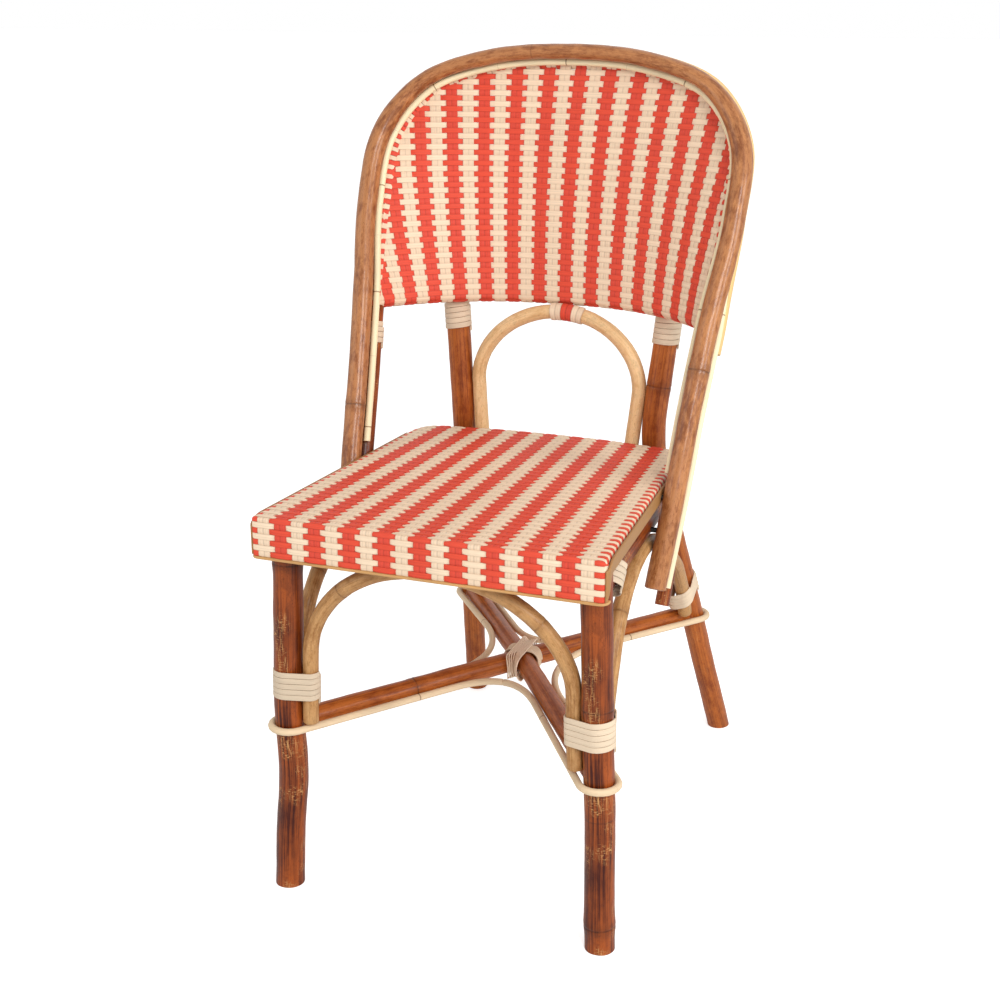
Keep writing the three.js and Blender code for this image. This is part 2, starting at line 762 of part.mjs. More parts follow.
// Back arch, bent between the upper parts of the rear legs, its feet on the side rail
const archUnderRoll = backRailRadius + fit + weaveThickness + fit + archRadius;
const rollRest = radians(31);
const backRailMiddle = backRailAt(0).point;
const backArchTop = vec(
  0,
  backRailMiddle.y - archUnderRoll * Math.sin(rollRest),
  backRailZ - archUnderRoll * Math.cos(rollRest),
);
const insideRearLeg = vec(-(rearLegRadius + fit + archRadius), 0, 0);
const backArchSpringShare = 0.4;
const quarterShare = 0.552;
const backArchPath = archPath(
  upperLegAt(1, sideRailZ + backArchFootDrop).add(insideRearLeg),
  upperLegAt(1, lerp(seatHeight, backArchTop.z, backArchSpringShare)).add(insideRearLeg),
  backArchTop,
  quarterShare,
  quarterShare,
);

function backArch(grow = 0) {
  const shares = runShares(backArchPath, [1, 8, 8, 1]);
  return pole(backArchPath, archRadius, { shares, around: archSides, grow });
}

piece('back_arch', cut(
  backArch(),
  legTools.left.rear,
  legTools.right.rear,
  sideRail(fit),
), 'tanPole');

// A tab of the weave, drawn round the top of the back arch
function archTab() {
  const shape = new THREE.Shape().absarc(0, 0, archRadius + 2 * fit + weaveThickness, 0, 2 * Math.PI);
  shape.holes.push(new THREE.Path().absarc(0, 0, archRadius + 2 * fit, 0, 2 * Math.PI));
  const whole = backArchPath.getLength();
  const [from, to] = [tabShift - tabWidth / 2, tabShift + tabWidth / 2].map((x) => middleShare + x / whole);
  const count = 5;
  const frames = framesOn(new PartOf(backArchPath, from, to), [...evenSteps(0, 1, count), 1]);
  const settings = { depth: count, steps: count, bevelEnabled: false, curveSegments: 10 };
  return bend(new THREE.ExtrudeGeometry(shape, settings), frames);
}

piece('arch_tab', cut(archTab(), backArch(fit), backRail(rollReach + weaveThickness)), 'weave');

// Leg canes: each runs along its stretcher, round its leg and back, and meets the next at a bend
const legRing = [
  { name: 'front_left', end: frontLeft, at: frontLegAt, sign: -1, radius: frontLegRadius },
  { name: 'front_right', end: frontRight, at: frontLegAt, sign: 1, radius: frontLegRadius },
  { name: 'rear_right', end: rearRight, at: rearLegAt, sign: 1, radius: rearLegRadius },
  { name: 'rear_left', end: rearLeft, at: rearLegAt, sign: -1, radius: rearLegRadius },
];
const filletReaches = [frontFilletReach, sideFilletReach];
const caneOffset = stretcherRadius + fit + legCaneRadius;
const ringHalfTurn = radians(96);
const ringSteps = 12;

function level(point) {
  return vec(point.x, point.y, 0);
}

// Half of the bend between a leg's cane and its neighbour's, from the meeting point outward
function halfFillet(leg, neighbour, reach) {
  const own = level(leg.end).sub(level(crossing)).normalize();
  const other = level(neighbour.end).sub(level(crossing)).normalize();
  const middle = own.clone().add(other).normalize();
  const inner = crossing.clone().addScaledVector(middle, caneOffset / middle.clone().cross(own).length());
  const corner = inner.setZ(crossing.z - caneBelowStretcher);
  const enter = corner.clone().addScaledVector(own, reach);
  const meet = enter.clone().add(corner.clone().addScaledVector(other, reach))
    .addScaledVector(corner, 2).multiplyScalar(1 / 4);
  const pull = corner.clone().add(enter).multiplyScalar(1 / 2);
  return new THREE.QuadraticBezierCurve3(meet, pull, enter);
}

function reversed(curve) {
  return new THREE.QuadraticBezierCurve3(curve.v2, curve.v1, curve.v0);
}

function legCane(i) {
  const leg = legRing[i];
  const [before, after] = [legRing[(i + 3) % 4], legRing[(i + 1) % 4]];
  const z = leg.end.z - caneBelowStretcher;
  const centre = leg.at(leg.sign, z);
  const axis = leg.at(leg.sign, seatHeight).sub(leg.at(leg.sign, 0)).normalize();
  const out = level(leg.end).sub(level(crossing)).normalize();
  const reach = leg.radius + fit + legCaneRadius;
  const ring = [...evenSteps(-ringHalfTurn, ringHalfTurn, ringSteps), ringHalfTurn].map((turn) => {
    const way = out.clone().applyAxisAngle(up, turn);
    return centre.clone().addScaledVector(way, reach / Math.sqrt(1 - way.dot(axis) ** 2));
  });
  const enter = halfFillet(leg, before, filletReaches[(i + 1) % 2]);
  const leave = halfFillet(leg, after, filletReaches[i % 2]);
  const path = new THREE.CurvePath();
  path.add(enter);
  path.add(line(enter.v2, ring[0]));
  path.add(new THREE.CatmullRomCurve3(ring));
  path.add(line(ring[ringSteps], leave.v2));
  path.add(reversed(leave));
  const endShare = fit / 2 / path.getLength();
  const shares = runShares(path, [4, 1, ringSteps, 1, 4]);
  shares[0] = endShare;
  shares[shares.length - 1] = 1 - endShare;
  return round(framesOn(path, shares, up), shares.map(() => legCaneRadius), caneSides);
}

legRing.forEach(({ name }, i) => piece(`leg_cane_${name}`, legCane(i), 'paleCane'));

// Bolts: from inside the seat through the frame or the side rail into the hoop's arms
const boltPlaces = sides.flatMap(({ name, sign }) => [
  { label: 'upper', z: seatFrameZ, inset: frameInset + seatFrameRadius },
  { label: 'lower', z: sideRailZ, inset: sideRailInset + sideRailRadius },
].map(({ label, z, inset }) => {
  const arm = hoopCurve.getPointAt(hoopShareAt(z));
  return { name: `${label}_${name}`, sign, arm, inner: halfWidthAt(arm.y) - inset - fit };
}));

function bolt({ sign, arm, inner }, grow = 0) {
  const tip = Math.abs(arm.x) - hoopRadius + boltGrip + grow;
  const head = inner - boltHeadHeight - grow;
  const profile = [
    [0, head],
    [boltHeadRadius + grow, head],
    [boltHeadRadius + grow, inner + grow],
    [boltRadius + grow, inner + grow],
    [boltRadius + grow, tip],
    [0, tip],
  ].map(([radius, along]) => new THREE.Vector2(radius, along));
  return new THREE.LatheGeometry(profile, boltSides)
    .rotateZ((-sign * Math.PI) / 2)
    .translate(0, arm.y, arm.z);
}

const boltHoles = boltPlaces.map((place) => bolt(place, fit));
for (const place of boltPlaces) piece(`hoop_bolt_${place.name}`, bolt(place), 'steel');

const hoop = pole(hoopCurve, hoopRadius, { shares: hoopShares, rings: hoopRingShares });
piece('back_hoop', cut(hoop, ...boltHoles), 'brownPole');
piece('seat_frame', cut(seatFrame(), ...boltHoles), 'brownPole');
piece('side_rail', cut(sideRail(), legTools.left.front, legTools.right.front, ...boltHoles), 'darkPole');

// Woven seat: a shell over the frame, open below, its front drawn down over the front rail
function seatBlock(inset, top, rounding) {
  const depth = top - seatBottomZ + overrun - 2 * rounding;
  return new THREE.ExtrudeGeometry(seatOutline(inset + rounding, seatFrontCorner), {
    depth,
    bevelThickness: rounding,
    bevelSize: rounding,
    bevelSegments: 3,
    curveSegments: 5,
  }).translate(0, 0, top - rounding - depth);
}

// Turns a profile drawn in Y and Z into a solid of this thickness along X
function sideways(shape, thickness) {
  const turn = new THREE.Matrix4().set(0, 0, 1, 0, 1, 0, 0, 0, 0, 1, 0, 0, 0, 0, 0, 1);
  const settings = { depth: thickness, bevelEnabled: false, curveSegments: 5 };
  return new THREE.ExtrudeGeometry(shape, settings).applyMatrix4(turn);
}

// The lower edge of the seat's side: up from the woven front to the lip, then level
function lipLine(startY, endY, drop) {
  const shape = new THREE.Shape();
  shape.moveTo(startY, seatBottomZ - drop);
  shape.quadraticCurveTo(startY + lipSlope / 3, lipBottomZ - drop, startY + lipSlope, lipBottomZ - drop);
  shape.lineTo(endY, lipBottomZ - drop);
  return shape;
}

function belowLip() {
  const endY = seatDepth + overrun;
  const startY = weaveThickness + fit;
  const shape = lipLine(startY, endY, 0);
  shape.lineTo(endY, seatBottomZ - 2 * overrun);
  shape.lineTo(startY, seatBottomZ - 2 * overrun);
  shape.closePath();
  const width = seatFrontWidth + 2 * overrun;
  return sideways(shape, width).translate(-width / 2, 0, 0);
}

const underSeat = new THREE.BoxGeometry(2 * seatFrontWidth, 2 * seatDepth, 2 * overrun)
  .translate(0, seatDepth / 2, seatBottomZ - overrun);
piece('woven_seat', cut(
  seatBlock(0, seatHeight, seatEdgeRound),
  seatBlock(weaveThickness, seatHeight - weaveThickness, seatEdgeRound - weaveThickness / 2),
  underSeat,
  belowLip(),
  ...boltHoles,
), 'weave');

// Side bands: flat cane nailed over the edge of the weave
function sideBand(sign) {
  const endY = seatDepth - seatBackBow - seatBackCorner;
  const shape = lipLine(seatFrontCorner, endY, 0);
  shape.lineTo(endY, seatHeight - seatEdgeRound);
  shape.lineTo(seatFrontCorner, seatHeight - seatEdgeRound);
  shape.closePath();
  const band = sideways(shape, sideBandThickness);
  const position = band.attributes.position;
  for (let i = 0; i < position.count; i += 1) {
    const base = halfWidthAt(position.getY(i)) + fit;
    const inside = sign > 0 ? base : -base - sideBandThickness;
    position.setX(i, inside + position.getX(i));
  }
  return cut(band, ...boltHoles);
}

for (const { name, sign } of sides) piece(`seat_side_band_${name}`, sideBand(sign), 'honeyCane');

const frontCane = new THREE.BoxGeometry(seatFrontWidth - seatFrontCorner, frontCaneDepth, frontCaneHeight)
  .translate(0, frontCaneDepth / 2, seatBottomZ - fit - frontCaneHeight / 2);
piece('seat_front_cane', frontCane, 'honeyCane');

// Windings: a flat strip wound round all the poles that it ties
const pitch = stripWidth + stripSpace;
const stripShape = new THREE.Shape([
  new THREE.Vector2(-stripWidth / 2, -stripThickness / 2),
  new THREE.Vector2(stripWidth / 2, -stripThickness / 2),
  new THREE.Vector2(stripWidth / 2, stripThickness / 2),
  new THREE.Vector2(-stripWidth / 2, stripThickness / 2),
]);
let leastGap = Infinity;

// Where the strip lies at an angle round its axis: outside the pole that reaches furthest that way
function windingPoint(circles, angle, clearance) {
  const way = new THREE.Vector2(Math.cos(angle), Math.sin(angle));
  const reach = (circle) => circle.x * way.x + circle.y * way.y + circle.radius;
  const furthest = circles.reduce((best, circle) => (reach(circle) > reach(best) ? circle : best));
  const out = (furthest.radius + clearance) / Math.cos(Math.PI / loopSteps) + stripThickness / 2;
  return { x: furthest.x + out * way.x, y: furthest.y + out * way.y, way };
}

function winding(centre, axis, side, turns, circlesAt, clearance = fit) {
  const first = side.clone().addScaledVector(axis, -side.dot(axis)).normalize();
  const second = axis.clone().cross(first);
  const seen = (offset) => ({ x: offset.dot(first), y: offset.dot(second) });
  const stations = Array.from({ length: turns * loopSteps + 1 }, (_, i) => {
    const rise = (i / loopSteps - turns / 2) * pitch;
    const circles = circlesAt(rise, seen);
    const { x, y, way } = windingPoint(circles, (2 * Math.PI * i) / loopSteps, clearance);
    const point = centre.clone()
      .addScaledVector(first, x)
      .addScaledVector(second, y)
      .addScaledVector(axis, rise);
    const beside = first.clone().multiplyScalar(way.x).addScaledVector(second, way.y);
    return { point, across: axis, beside };
  });
  for (let i = 0; i + loopSteps < stations.length; i += 1) {
    const high = stations[i].point.clone().addScaledVector(axis, stripWidth / 2);
    const low = stations[i + loopSteps].point.clone().addScaledVector(axis, -stripWidth / 2);
    leastGap = Math.min(leastGap, high.distanceTo(low));
  }
  return strip(stations, stripShape);
}

const longTurns = 5;
const shortTurns = 4;
const windingLength = (turns) => turns * pitch + stripWidth;
const legTopBindingZ = rearTop.z - windingLength(longTurns) / 2 - fit;
const frameBindingShare = hoopShareAt(backBottomZ - windingLength(shortTurns) / 2 - bindingBelowBack);
const railBindingY = railFrontY + frontLegRadius + windingLength(shortTurns) / 2 + fit;

// Where a row of points along an arch passes the edges of a strip, seen along the axis of its winding
function archAt(points, centre, axis, rise) {
  const heights = points.map((point) => point.clone().sub(centre).dot(axis) - rise);
  const passed = heights.findIndex((height, i) => i > 0 && height * heights[i - 1] <= 0);
  const i = Math.max(passed, 1);
  const share = heights[i - 1] / (heights[i - 1] - heights[i]);
  return points[i - 1].clone().lerp(points[i], THREE.MathUtils.clamp(share, 0, 1)).sub(centre);
}

const archSamples = 200;

for (const { name, sign } of sides) {
  const archPoints = sideArchPath(sign).getPoints(archSamples);
  const archEdges = (points, centre, axis) => (rise, seen) => [-stripWidth / 2, stripWidth / 2]
    .map((edge) => ({ ...seen(archAt(points, centre, axis, rise + edge)), radius: archRadius }));

  const frontAxis = frontLegAt(sign, frontTop.z).sub(frontLegAt(sign, 0)).normalize();
  const frontCentre = frontLegAt(sign, braceFootZ + frontBindingAbove);
  const frontEdges = archEdges(archPoints, frontCentre, frontAxis);
  piece(`front_binding_${name}`, winding(frontCentre, frontAxis, east, longTurns, (rise, seen) => [
    { x: 0, y: 0, radius: frontLegRadius },
    { x: -sign * archFromLeg, y: 0, radius: archRadius },
    ...frontEdges(rise, seen),
  ], 2 * fit), 'creamCane');

  const rearAxis = rearLegAt(sign, rearBend.z).sub(rearLegAt(sign, 0)).normalize();
  const rearCentre = rearLegAt(sign, braceFootZ + rearBindingAbove);
  const rearEdges = archEdges([...archPoints].reverse(), rearCentre, rearAxis);
  piece(`rear_binding_${name}`, winding(rearCentre, rearAxis, east, shortTurns, (rise, seen) => [
    { x: 0, y: 0, radius: rearLegRadius },
    ...rearEdges(rise, seen),
  ], 2 * fit), 'creamCane');

  const upperAxis = upperLegAt(sign, rearTop.z).sub(upperLegAt(sign, rearBend.z)).normalize();
  const upperCentre = upperLegAt(sign, legTopBindingZ);
  const legOnly = () => [{ x: 0, y: 0, radius: rearLegRadius }];
  piece(`leg_top_binding_${name}`, winding(upperCentre, upperAxis, east, longTurns, legOnly), 'creamCane');

  const frameShare = sign > 0 ? 1 - frameBindingShare : frameBindingShare;
  const [onFrame] = framesOn(hoopCurve, [frameShare]).map((f) => shifted(f, hoopSetIn, hoopSetBack));
  const frameOnly = () => [{ x: 0, y: 0, radius: backFrameRadius }];
  piece(`back_frame_binding_${name}`, winding(
    onFrame.point,
    onFrame.along,
    onFrame.across,
    shortTurns,
    frameOnly,
  ), 'creamCane');

  const railAxis = vec(-sign * seatTaper, 1, 0).normalize();
  const railCentre = vec(sign * sideRailX(railBindingY), railBindingY, sideRailZ);
  const railOnly = () => [{ x: 0, y: 0, radius: sideRailRadius }];
  piece(`rail_binding_${name}`, winding(railCentre, railAxis, east, shortTurns, railOnly), 'creamCane');
}

// Where the stretchers cross, one winding lies over the other
const spread = rearRight.clone().sub(frontLeft);
const slopeOf = { x: Math.abs(spread.x / spread.y), y: Math.abs(spread.y / spread.x) };
const innerClearance = 4 * fit;
const outerClearance = innerClearance + 2 * stripThickness;

function twoPoles(rise, lean) {
  const apart = (Math.abs(rise) + stripWidth / 2) * lean
    + stretcherRadius * (Math.hypot(1, lean) - 1);
  return [
    { x: -apart, y: 0, radius: stretcherRadius },
    { x: apart, y: 0, radius: stretcherRadius },
  ];
}

const sideLoops = winding(crossing, behind, east, 3, (rise) => twoPoles(rise, slopeOf.x), innerClearance);
const frontLoops = winding(crossing, east, behind, 2, (rise) => twoPoles(rise, slopeOf.y), outerClearance);
piece('crossing_binding_inner', sideLoops, 'creamCane');
piece('crossing_binding_outer', frontLoops, 'creamCane');

console.log(`Least gap between turns: ${leastGap.toFixed(2)} mm`);

const bounds = new THREE.Box3().setFromObject(chair);
chair.position.set(-(bounds.min.x + bounds.max.x) / 2, -(bounds.min.y + bounds.max.y) / 2, 0);

export default chair;
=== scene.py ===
"""A rattan bistro chair: poles, canes, bindings and a two-colour weave, drawn over its solids.

Lengths are metres. While a piece is drawn, Y is counted back from the seat's front edge, as a
chair maker measures; finish_piece moves it to the model's own place.
"""
import math
from bisect import bisect_left
from random import Random

import bmesh
import bpy
from bpy.props import FloatProperty, FloatVectorProperty, IntProperty, PointerProperty
from mathutils import Matrix, Vector, noise


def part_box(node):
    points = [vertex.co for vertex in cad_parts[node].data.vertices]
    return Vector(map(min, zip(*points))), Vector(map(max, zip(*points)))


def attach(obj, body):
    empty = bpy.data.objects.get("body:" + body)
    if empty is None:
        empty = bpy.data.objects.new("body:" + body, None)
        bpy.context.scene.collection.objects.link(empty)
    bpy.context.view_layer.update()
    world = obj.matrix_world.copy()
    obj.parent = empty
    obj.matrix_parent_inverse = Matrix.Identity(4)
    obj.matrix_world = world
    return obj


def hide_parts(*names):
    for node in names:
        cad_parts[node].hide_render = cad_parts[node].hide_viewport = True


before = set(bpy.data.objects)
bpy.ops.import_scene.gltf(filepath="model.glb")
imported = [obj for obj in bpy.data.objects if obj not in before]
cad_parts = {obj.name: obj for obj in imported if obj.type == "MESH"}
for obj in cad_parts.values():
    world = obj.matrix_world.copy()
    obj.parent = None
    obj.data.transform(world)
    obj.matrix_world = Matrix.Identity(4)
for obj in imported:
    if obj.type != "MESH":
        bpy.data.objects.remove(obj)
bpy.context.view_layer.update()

bl_info = {
    "name": "Rattan Bistro Chair",
    "version": (1, 0, 0),
    "blender": (4, 5, 0),
    "location": "View3D > Sidebar > Chair",
    "description": "Draws the poles, canes, bindings and weave of a rattan bistro chair",
    "category": "Add Mesh",
}

TO_PLACE = Matrix.Translation((0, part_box("woven_seat")[0].y, 0))
UP = Vector((0, 0, 1))
BEHIND = Vector((0, 1, 0))
EAST = Vector((1, 0, 0))
SIDES = {"left": -1, "right": 1}

# Clearance between pieces that touch
FIT = 0.0003

# Seat
SEAT_HEIGHT = 0.450
SEAT_FRONT_WIDTH = 0.384
SEAT_BACK_WIDTH = 0.336
SEAT_DEPTH = 0.409
SEAT_BACK_BOW = 0.010
SEAT_FACE_HEIGHT = 0.044
SEAT_BACK_CORNER = 0.042
SEAT_EDGE_ROUND = 0.005
SEAT_FRONT_CORNER = 0.009
FRAME_CORNER = 0.026
SHEET = 0.003
BAND = 0.0025

# Poles and canes, as radii
FRONT_LEG = 0.0163
REAR_LEG = 0.0143
HOOP = 0.0125
BACK_FRAME = 0.011
BACK_RAIL = 0.008
SEAT_FRAME = 0.009
FRONT_RAIL = 0.0115
SIDE_RAIL = 0.0105
ARCH = 0.0087
STRETCHER = 0.012
BEAD = 0.004
LEG_CANE = 0.004

# Heights and places that several pieces share
SEAT_BOTTOM = SEAT_HEIGHT - SEAT_FACE_HEIGHT
SEAT_FRAME_Z = SEAT_HEIGHT - SHEET - FIT - SEAT_FRAME
SIDE_RAIL_Z = SEAT_HEIGHT - 0.046
BACK_BOTTOM = SEAT_HEIGHT + 0.151
BRACE_FOOT = 0.204
SEAT_TAPER = (SEAT_FRONT_WIDTH - SEAT_BACK_WIDTH) / 2 / SEAT_DEPTH
CORNER_Y = SEAT_DEPTH - SEAT_BACK_BOW - SEAT_BACK_CORNER


def lerp(a, b, share):
    return a + (b - a) * share


def clamp(value, low, high):
    return max(low, min(high, value))


def step_up(value, low, high):
    """A smooth rise from 0 to 1 between two limits."""
    share = clamp((value - low) / (high - low), 0, 1)
    return share * share * (3 - 2 * share)


def last_held(low, high, held):
    """The end of the range in which a test holds, found by halving."""
    for _ in range(20):
        middle = (low + high) / 2
        if held(middle):
            low = middle
        else:
            high = middle
    return low


def half_width_at(y):
    """Half of the seat's width this far behind its front edge."""
    return SEAT_FRONT_WIDTH / 2 - SEAT_TAPER * y


# Courses and frames ------------------------------------------------------------------------------


def quadratic(a, b, c, steps=12):
    return [a.lerp(b, i / steps).lerp(b.lerp(c, i / steps), i / steps) for i in range(steps + 1)]


def cubic(a, b, c, d, steps=24):
    return [
        quadratic(a, b, c, steps)[i].lerp(quadratic(b, c, d, steps)[i], i / steps)
        for i in range(steps + 1)
    ]


def through(points, steps=10):
    """A smooth row of points through these, each stretch timed by the root of its length."""
    ends = [2 * points[0] - points[1], *points, 2 * points[-1] - points[-2]]
    row = []
    for p0, p1, p2, p3 in zip(ends, ends[1:], ends[2:], ends[3:]):
        d0, d1, d2 = (math.sqrt((b - a).length) for a, b in ((p0, p1), (p1, p2), (p2, p3)))
        t1 = ((p1 - p0) / d0 - (p2 - p0) / (d0 + d1) + (p2 - p1) / d1) * d1
        t2 = ((p2 - p1) / d1 - (p3 - p1) / (d1 + d2) + (p3 - p2) / d2) * d1
        for i in range(steps):
            t = i / steps
            row.append(
                p1 + t1 * t + (3 * (p2 - p1) - 2 * t1 - t2) * t**2
                + (2 * (p1 - p2) + t1 + t2) * t**3
            )
    return [*row, points[-1]]


def mirrored(points):
    """The same row on the chair's other side, in reverse."""
    return [Vector((-point.x, point.y, point.z)) for point in reversed(points)]


def bent(points, reach):
    """Straight runs with a rounded bend at each inner point."""
    row = [points[0]]
    for before, corner, after in zip(points, points[1:], points[2:]):
        enter = corner + (before - corner).normalized() * reach
        leave = corner + (after - corner).normalized() * reach
        row += quadratic(enter, corner, leave)
    return [*row, points[-1]]


class Course:
    """A row of points, measured along its length."""

    def __init__(self, points):
        self.points = [points[0]]
        for point in points[1:]:
            if (point - self.points[-1]).length > 1e-6:
                self.points.append(point)
        self.lengths = [0.0]
        for a, b in zip(self.points, self.points[1:]):
            self.lengths.append(self.lengths[-1] + (b - a).length)
        self.length = self.lengths[-1]

    def _stretch(self, distance):
        return clamp(bisect_left(self.lengths, distance), 1, len(self.points) - 1)

    def at(self, distance):
        i = self._stretch(distance)
        share = (distance - self.lengths[i - 1]) / (self.lengths[i] - self.lengths[i - 1])
        return self.points[i - 1].lerp(self.points[i], share)

    def way(self, distance):
        reach = 0.003
        return (self.at(distance + reach) - self.at(distance - reach)).normalized()

    def distance_at(self, height):
        """How far along the course first rises past a height."""
        for i in range(1, len(self.points)):
            low, high = self.points[i - 1].z, self.points[i].z
            if low < height <= high:
                return lerp(self.lengths[i - 1], self.lengths[i], (height - low) / (high - low))
        raise ValueError(f"the course doesn't reach {height:.3f} m")


class Station:
    """A place on a course: beside lies nearest to the reference, and across is square to it."""

    def __init__(self, point, along, reference):
        self.point = point
        self.along = along
        self.beside = (reference - along * reference.dot(along)).normalized()
        self.across = self.beside.cross(along)

    def moved(self, inward, back):
        other = Station(self.point, self.along, self.beside)
        other.point = self.point + self.across * inward + self.beside * back
        return other


def spaced(start, end, step, rings=()):
    """Distances a step apart, closer round each growth ring."""
    count = max(1, round((end - start) / step))
    row = [lerp(start, end, i / count) for i in range(count + 1)]
    near = [ring + d for ring in rings for d in (-0.006, -0.003, -0.0012, 0, 0.0012, 0.003, 0.006)]
    row += [d for d in near if start < d < end]
    return sorted(row)


def stations_on(course, distances, reference=BEHIND):
    return [Station(course.at(d), course.way(d), reference) for d in distances]


# Drawing pieces ----------------------------------------------------------------------------------


def new_shape():
    """A mesh whose points carry their place along the straightened piece, the distance to the
    nearest growth ring and a shade; a strand's also carry their side and step."""
    bm = bmesh.new()
    bm.verts.layers.float_vector.new("course")
    for name in ("ring", "shade", "side", "step"):
        bm.verts.layers.float.new(name)
    return bm


def circle_of(radius):
    return lambda c, s: (radius * c, radius * s)


def strip_of(width, thickness, power):
    """A flat strip's section with rounded edges."""

    def section(c, s):
        x = math.copysign(abs(c) ** power, c) * width / 2
        return x, math.copysign(abs(s) ** power, s) * thickness / 2

    return section


def sweep(bm, stations, section, around, scales=None, rings=(), distances=None, shade=0.5):
    """Draws one closed tube of this section through the stations."""
    course = bm.verts.layers.float_vector["course"]
    mark = bm.verts.layers.float["ring"]
    tint = bm.verts.layers.float["shade"]
    loop = bmesh.ops.create_circle(bm, segments=around, radius=1)["verts"]
    edges = list(dict.fromkeys(edge for vert in loop for edge in vert.link_edges))
    for vert in loop:
        vert[course] = (*section(vert.co.x, vert.co.y), 0)
        vert[tint] = shade
    first = edges
    along = 0.0
    drawn = list(loop)
    for i, station in enumerate(stations):
        if i:
            along += (station.point - stations[i - 1].point).length
            grown = bmesh.ops.extrude_edge_only(bm, edges=edges)["geom"]
            loop = [part for part in grown if isinstance(part, bmesh.types.BMVert)]
            fresh = set(loop)
            edges = [
                part for part in grown
                if isinstance(part, bmesh.types.BMEdge) and fresh.issuperset(part.verts)
            ]
            drawn += loop
        place = distances[i] if distances else along
        nearest = min((place - ring for ring in rings), key=abs, default=1.0)
        wide, deep = scales[i] if scales else (1, 1)
        for vert in loop:
            x, y, _ = vert[course]
            vert[course] = (x, y, place)
            vert[mark] = clamp(nearest, -0.03, 0.03)
            vert.co = station.point + station.across * x * wide + station.beside * y * deep
    bmesh.ops.contextual_create(bm, geom=first)
    bmesh.ops.contextual_create(bm, geom=edges)
    return drawn


def finish_piece(name, bm, finishes, slot, replaced=None):
    """Turns a drawn mesh into a piece of the chair, in the model's own place."""
    bmesh.ops.recalc_face_normals(bm, faces=bm.faces)
    bmesh.ops.transform(bm, matrix=TO_PLACE, verts=bm.verts)
    mesh = bpy.data.meshes.new(name)
    bm.to_mesh(mesh)
    bm.free()
    for finish in finishes.split():
        mesh.materials.append(finish_of(finish))
    mesh.polygons.foreach_set("use_smooth", [True] * len(mesh.polygons))
    mesh.set_sharp_from_angle(angle=math.radians(50))
    piece = bpy.data.objects.new(name, mesh)
    bpy.context.scene.collection.objects.link(piece)
    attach(piece, "root")
    if replaced:
        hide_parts(replaced)


def roughen(bm, verts, amount):
    """Moves points along their normals by a smooth noise, as on a grown pole."""
    size = 0.02
    bm.normal_update()
    course = bm.verts.layers.float_vector["course"]
    for vert in verts:
        x, y, along = vert[course]
        place = Vector((x / size * 2, y / size * 2, along / size))
        vert.co += vert.normal * noise.noise(place) * amount


def swell_at(distance, rings):
    """How much thicker a pole is near its growth rings, as a share of its radius."""
    swell = 0.0
    for ring in rings:
        apart = distance - ring
        swell += 0.05 * math.exp(-((apart / 0.007) ** 2))
        swell -= 0.035 * math.exp(-((apart / 0.0012) ** 2))
    return swell


def pole(bm, course, radius, rings=(), reference=BEHIND, start=0.0, end=None, seed=0, around=28,
         wander=0.0006, ends=0.9, flatten=None):
    """A rattan pole along a course: rings that swell a little, a slow wander and eased ends.
    flatten gives two scales at a height: in the plane of the bend and square to it."""
    end = course.length if end is None else end
    distances = spaced(start, end, 0.009, rings)
    distances = sorted({*distances, start + 0.0012, end - 0.0012})
    stations = stations_on(course, distances, reference)
    scales = []
    for station, distance in zip(stations, distances):
        fade = min(1, (distance - start) / 0.05, (end - distance) / 0.05)
        place = Vector((distance * 9, seed * 7.3, 0.5))
        aside, back = noise.noise(place), noise.noise(place + UP * 8)
        sway = station.across * aside + station.beside * back
        station.point = station.point + sway * wander * fade
        thick = noise.noise(Vector((distance * 22, seed * 3.1, 2.5)))
        scale = 1 + 0.018 * thick + swell_at(distance, rings)
        wide, deep = flatten(station.point.z) if flatten else (1, 1)
        scales.append((scale * wide, scale * deep))
    for i in (0, -1):
        scales[i] = tuple(scale * ends for scale in scales[i])
    verts = sweep(bm, stations, circle_of(radius), around, scales, rings, distances)
    roughen(bm, verts, 0.00042)


def cane(bm, course, radius, rings, reference, start, end, seed):
    """A thin round cane along a course."""
    distances = sorted({*spaced(start, end, 0.006, rings), start + 0.0008, end - 0.0008})
    scales = [
        1 + 0.03 * noise.noise(Vector((d * 30, seed * 5.7, 0))) + 0.6 * swell_at(d, rings)
        for d in distances
    ]
    scales[0] *= 0.8
    scales[-1] *= 0.8
    scales = [(scale, scale) for scale in scales]
    stations = stations_on(course, distances, reference)
    sweep(bm, stations, circle_of(radius), 14, scales, rings, distances)


def stand_flat(bm):
    """Cuts the foot of a leg level with the floor."""
    geometry = [*bm.verts, *bm.edges, *bm.faces]
    cut = bmesh.ops.bisect_plane(
        bm, geom=geometry, dist=1e-6, plane_co=(0, 0, 0), plane_no=(0, 0, 1), clear_inner=True
    )["geom_cut"]
    rim = [part for part in cut if isinstance(part, bmesh.types.BMEdge)]
    bmesh.ops.contextual_create(bm, geom=rim)


# Materials ---------------------------------------------------------------------------------------


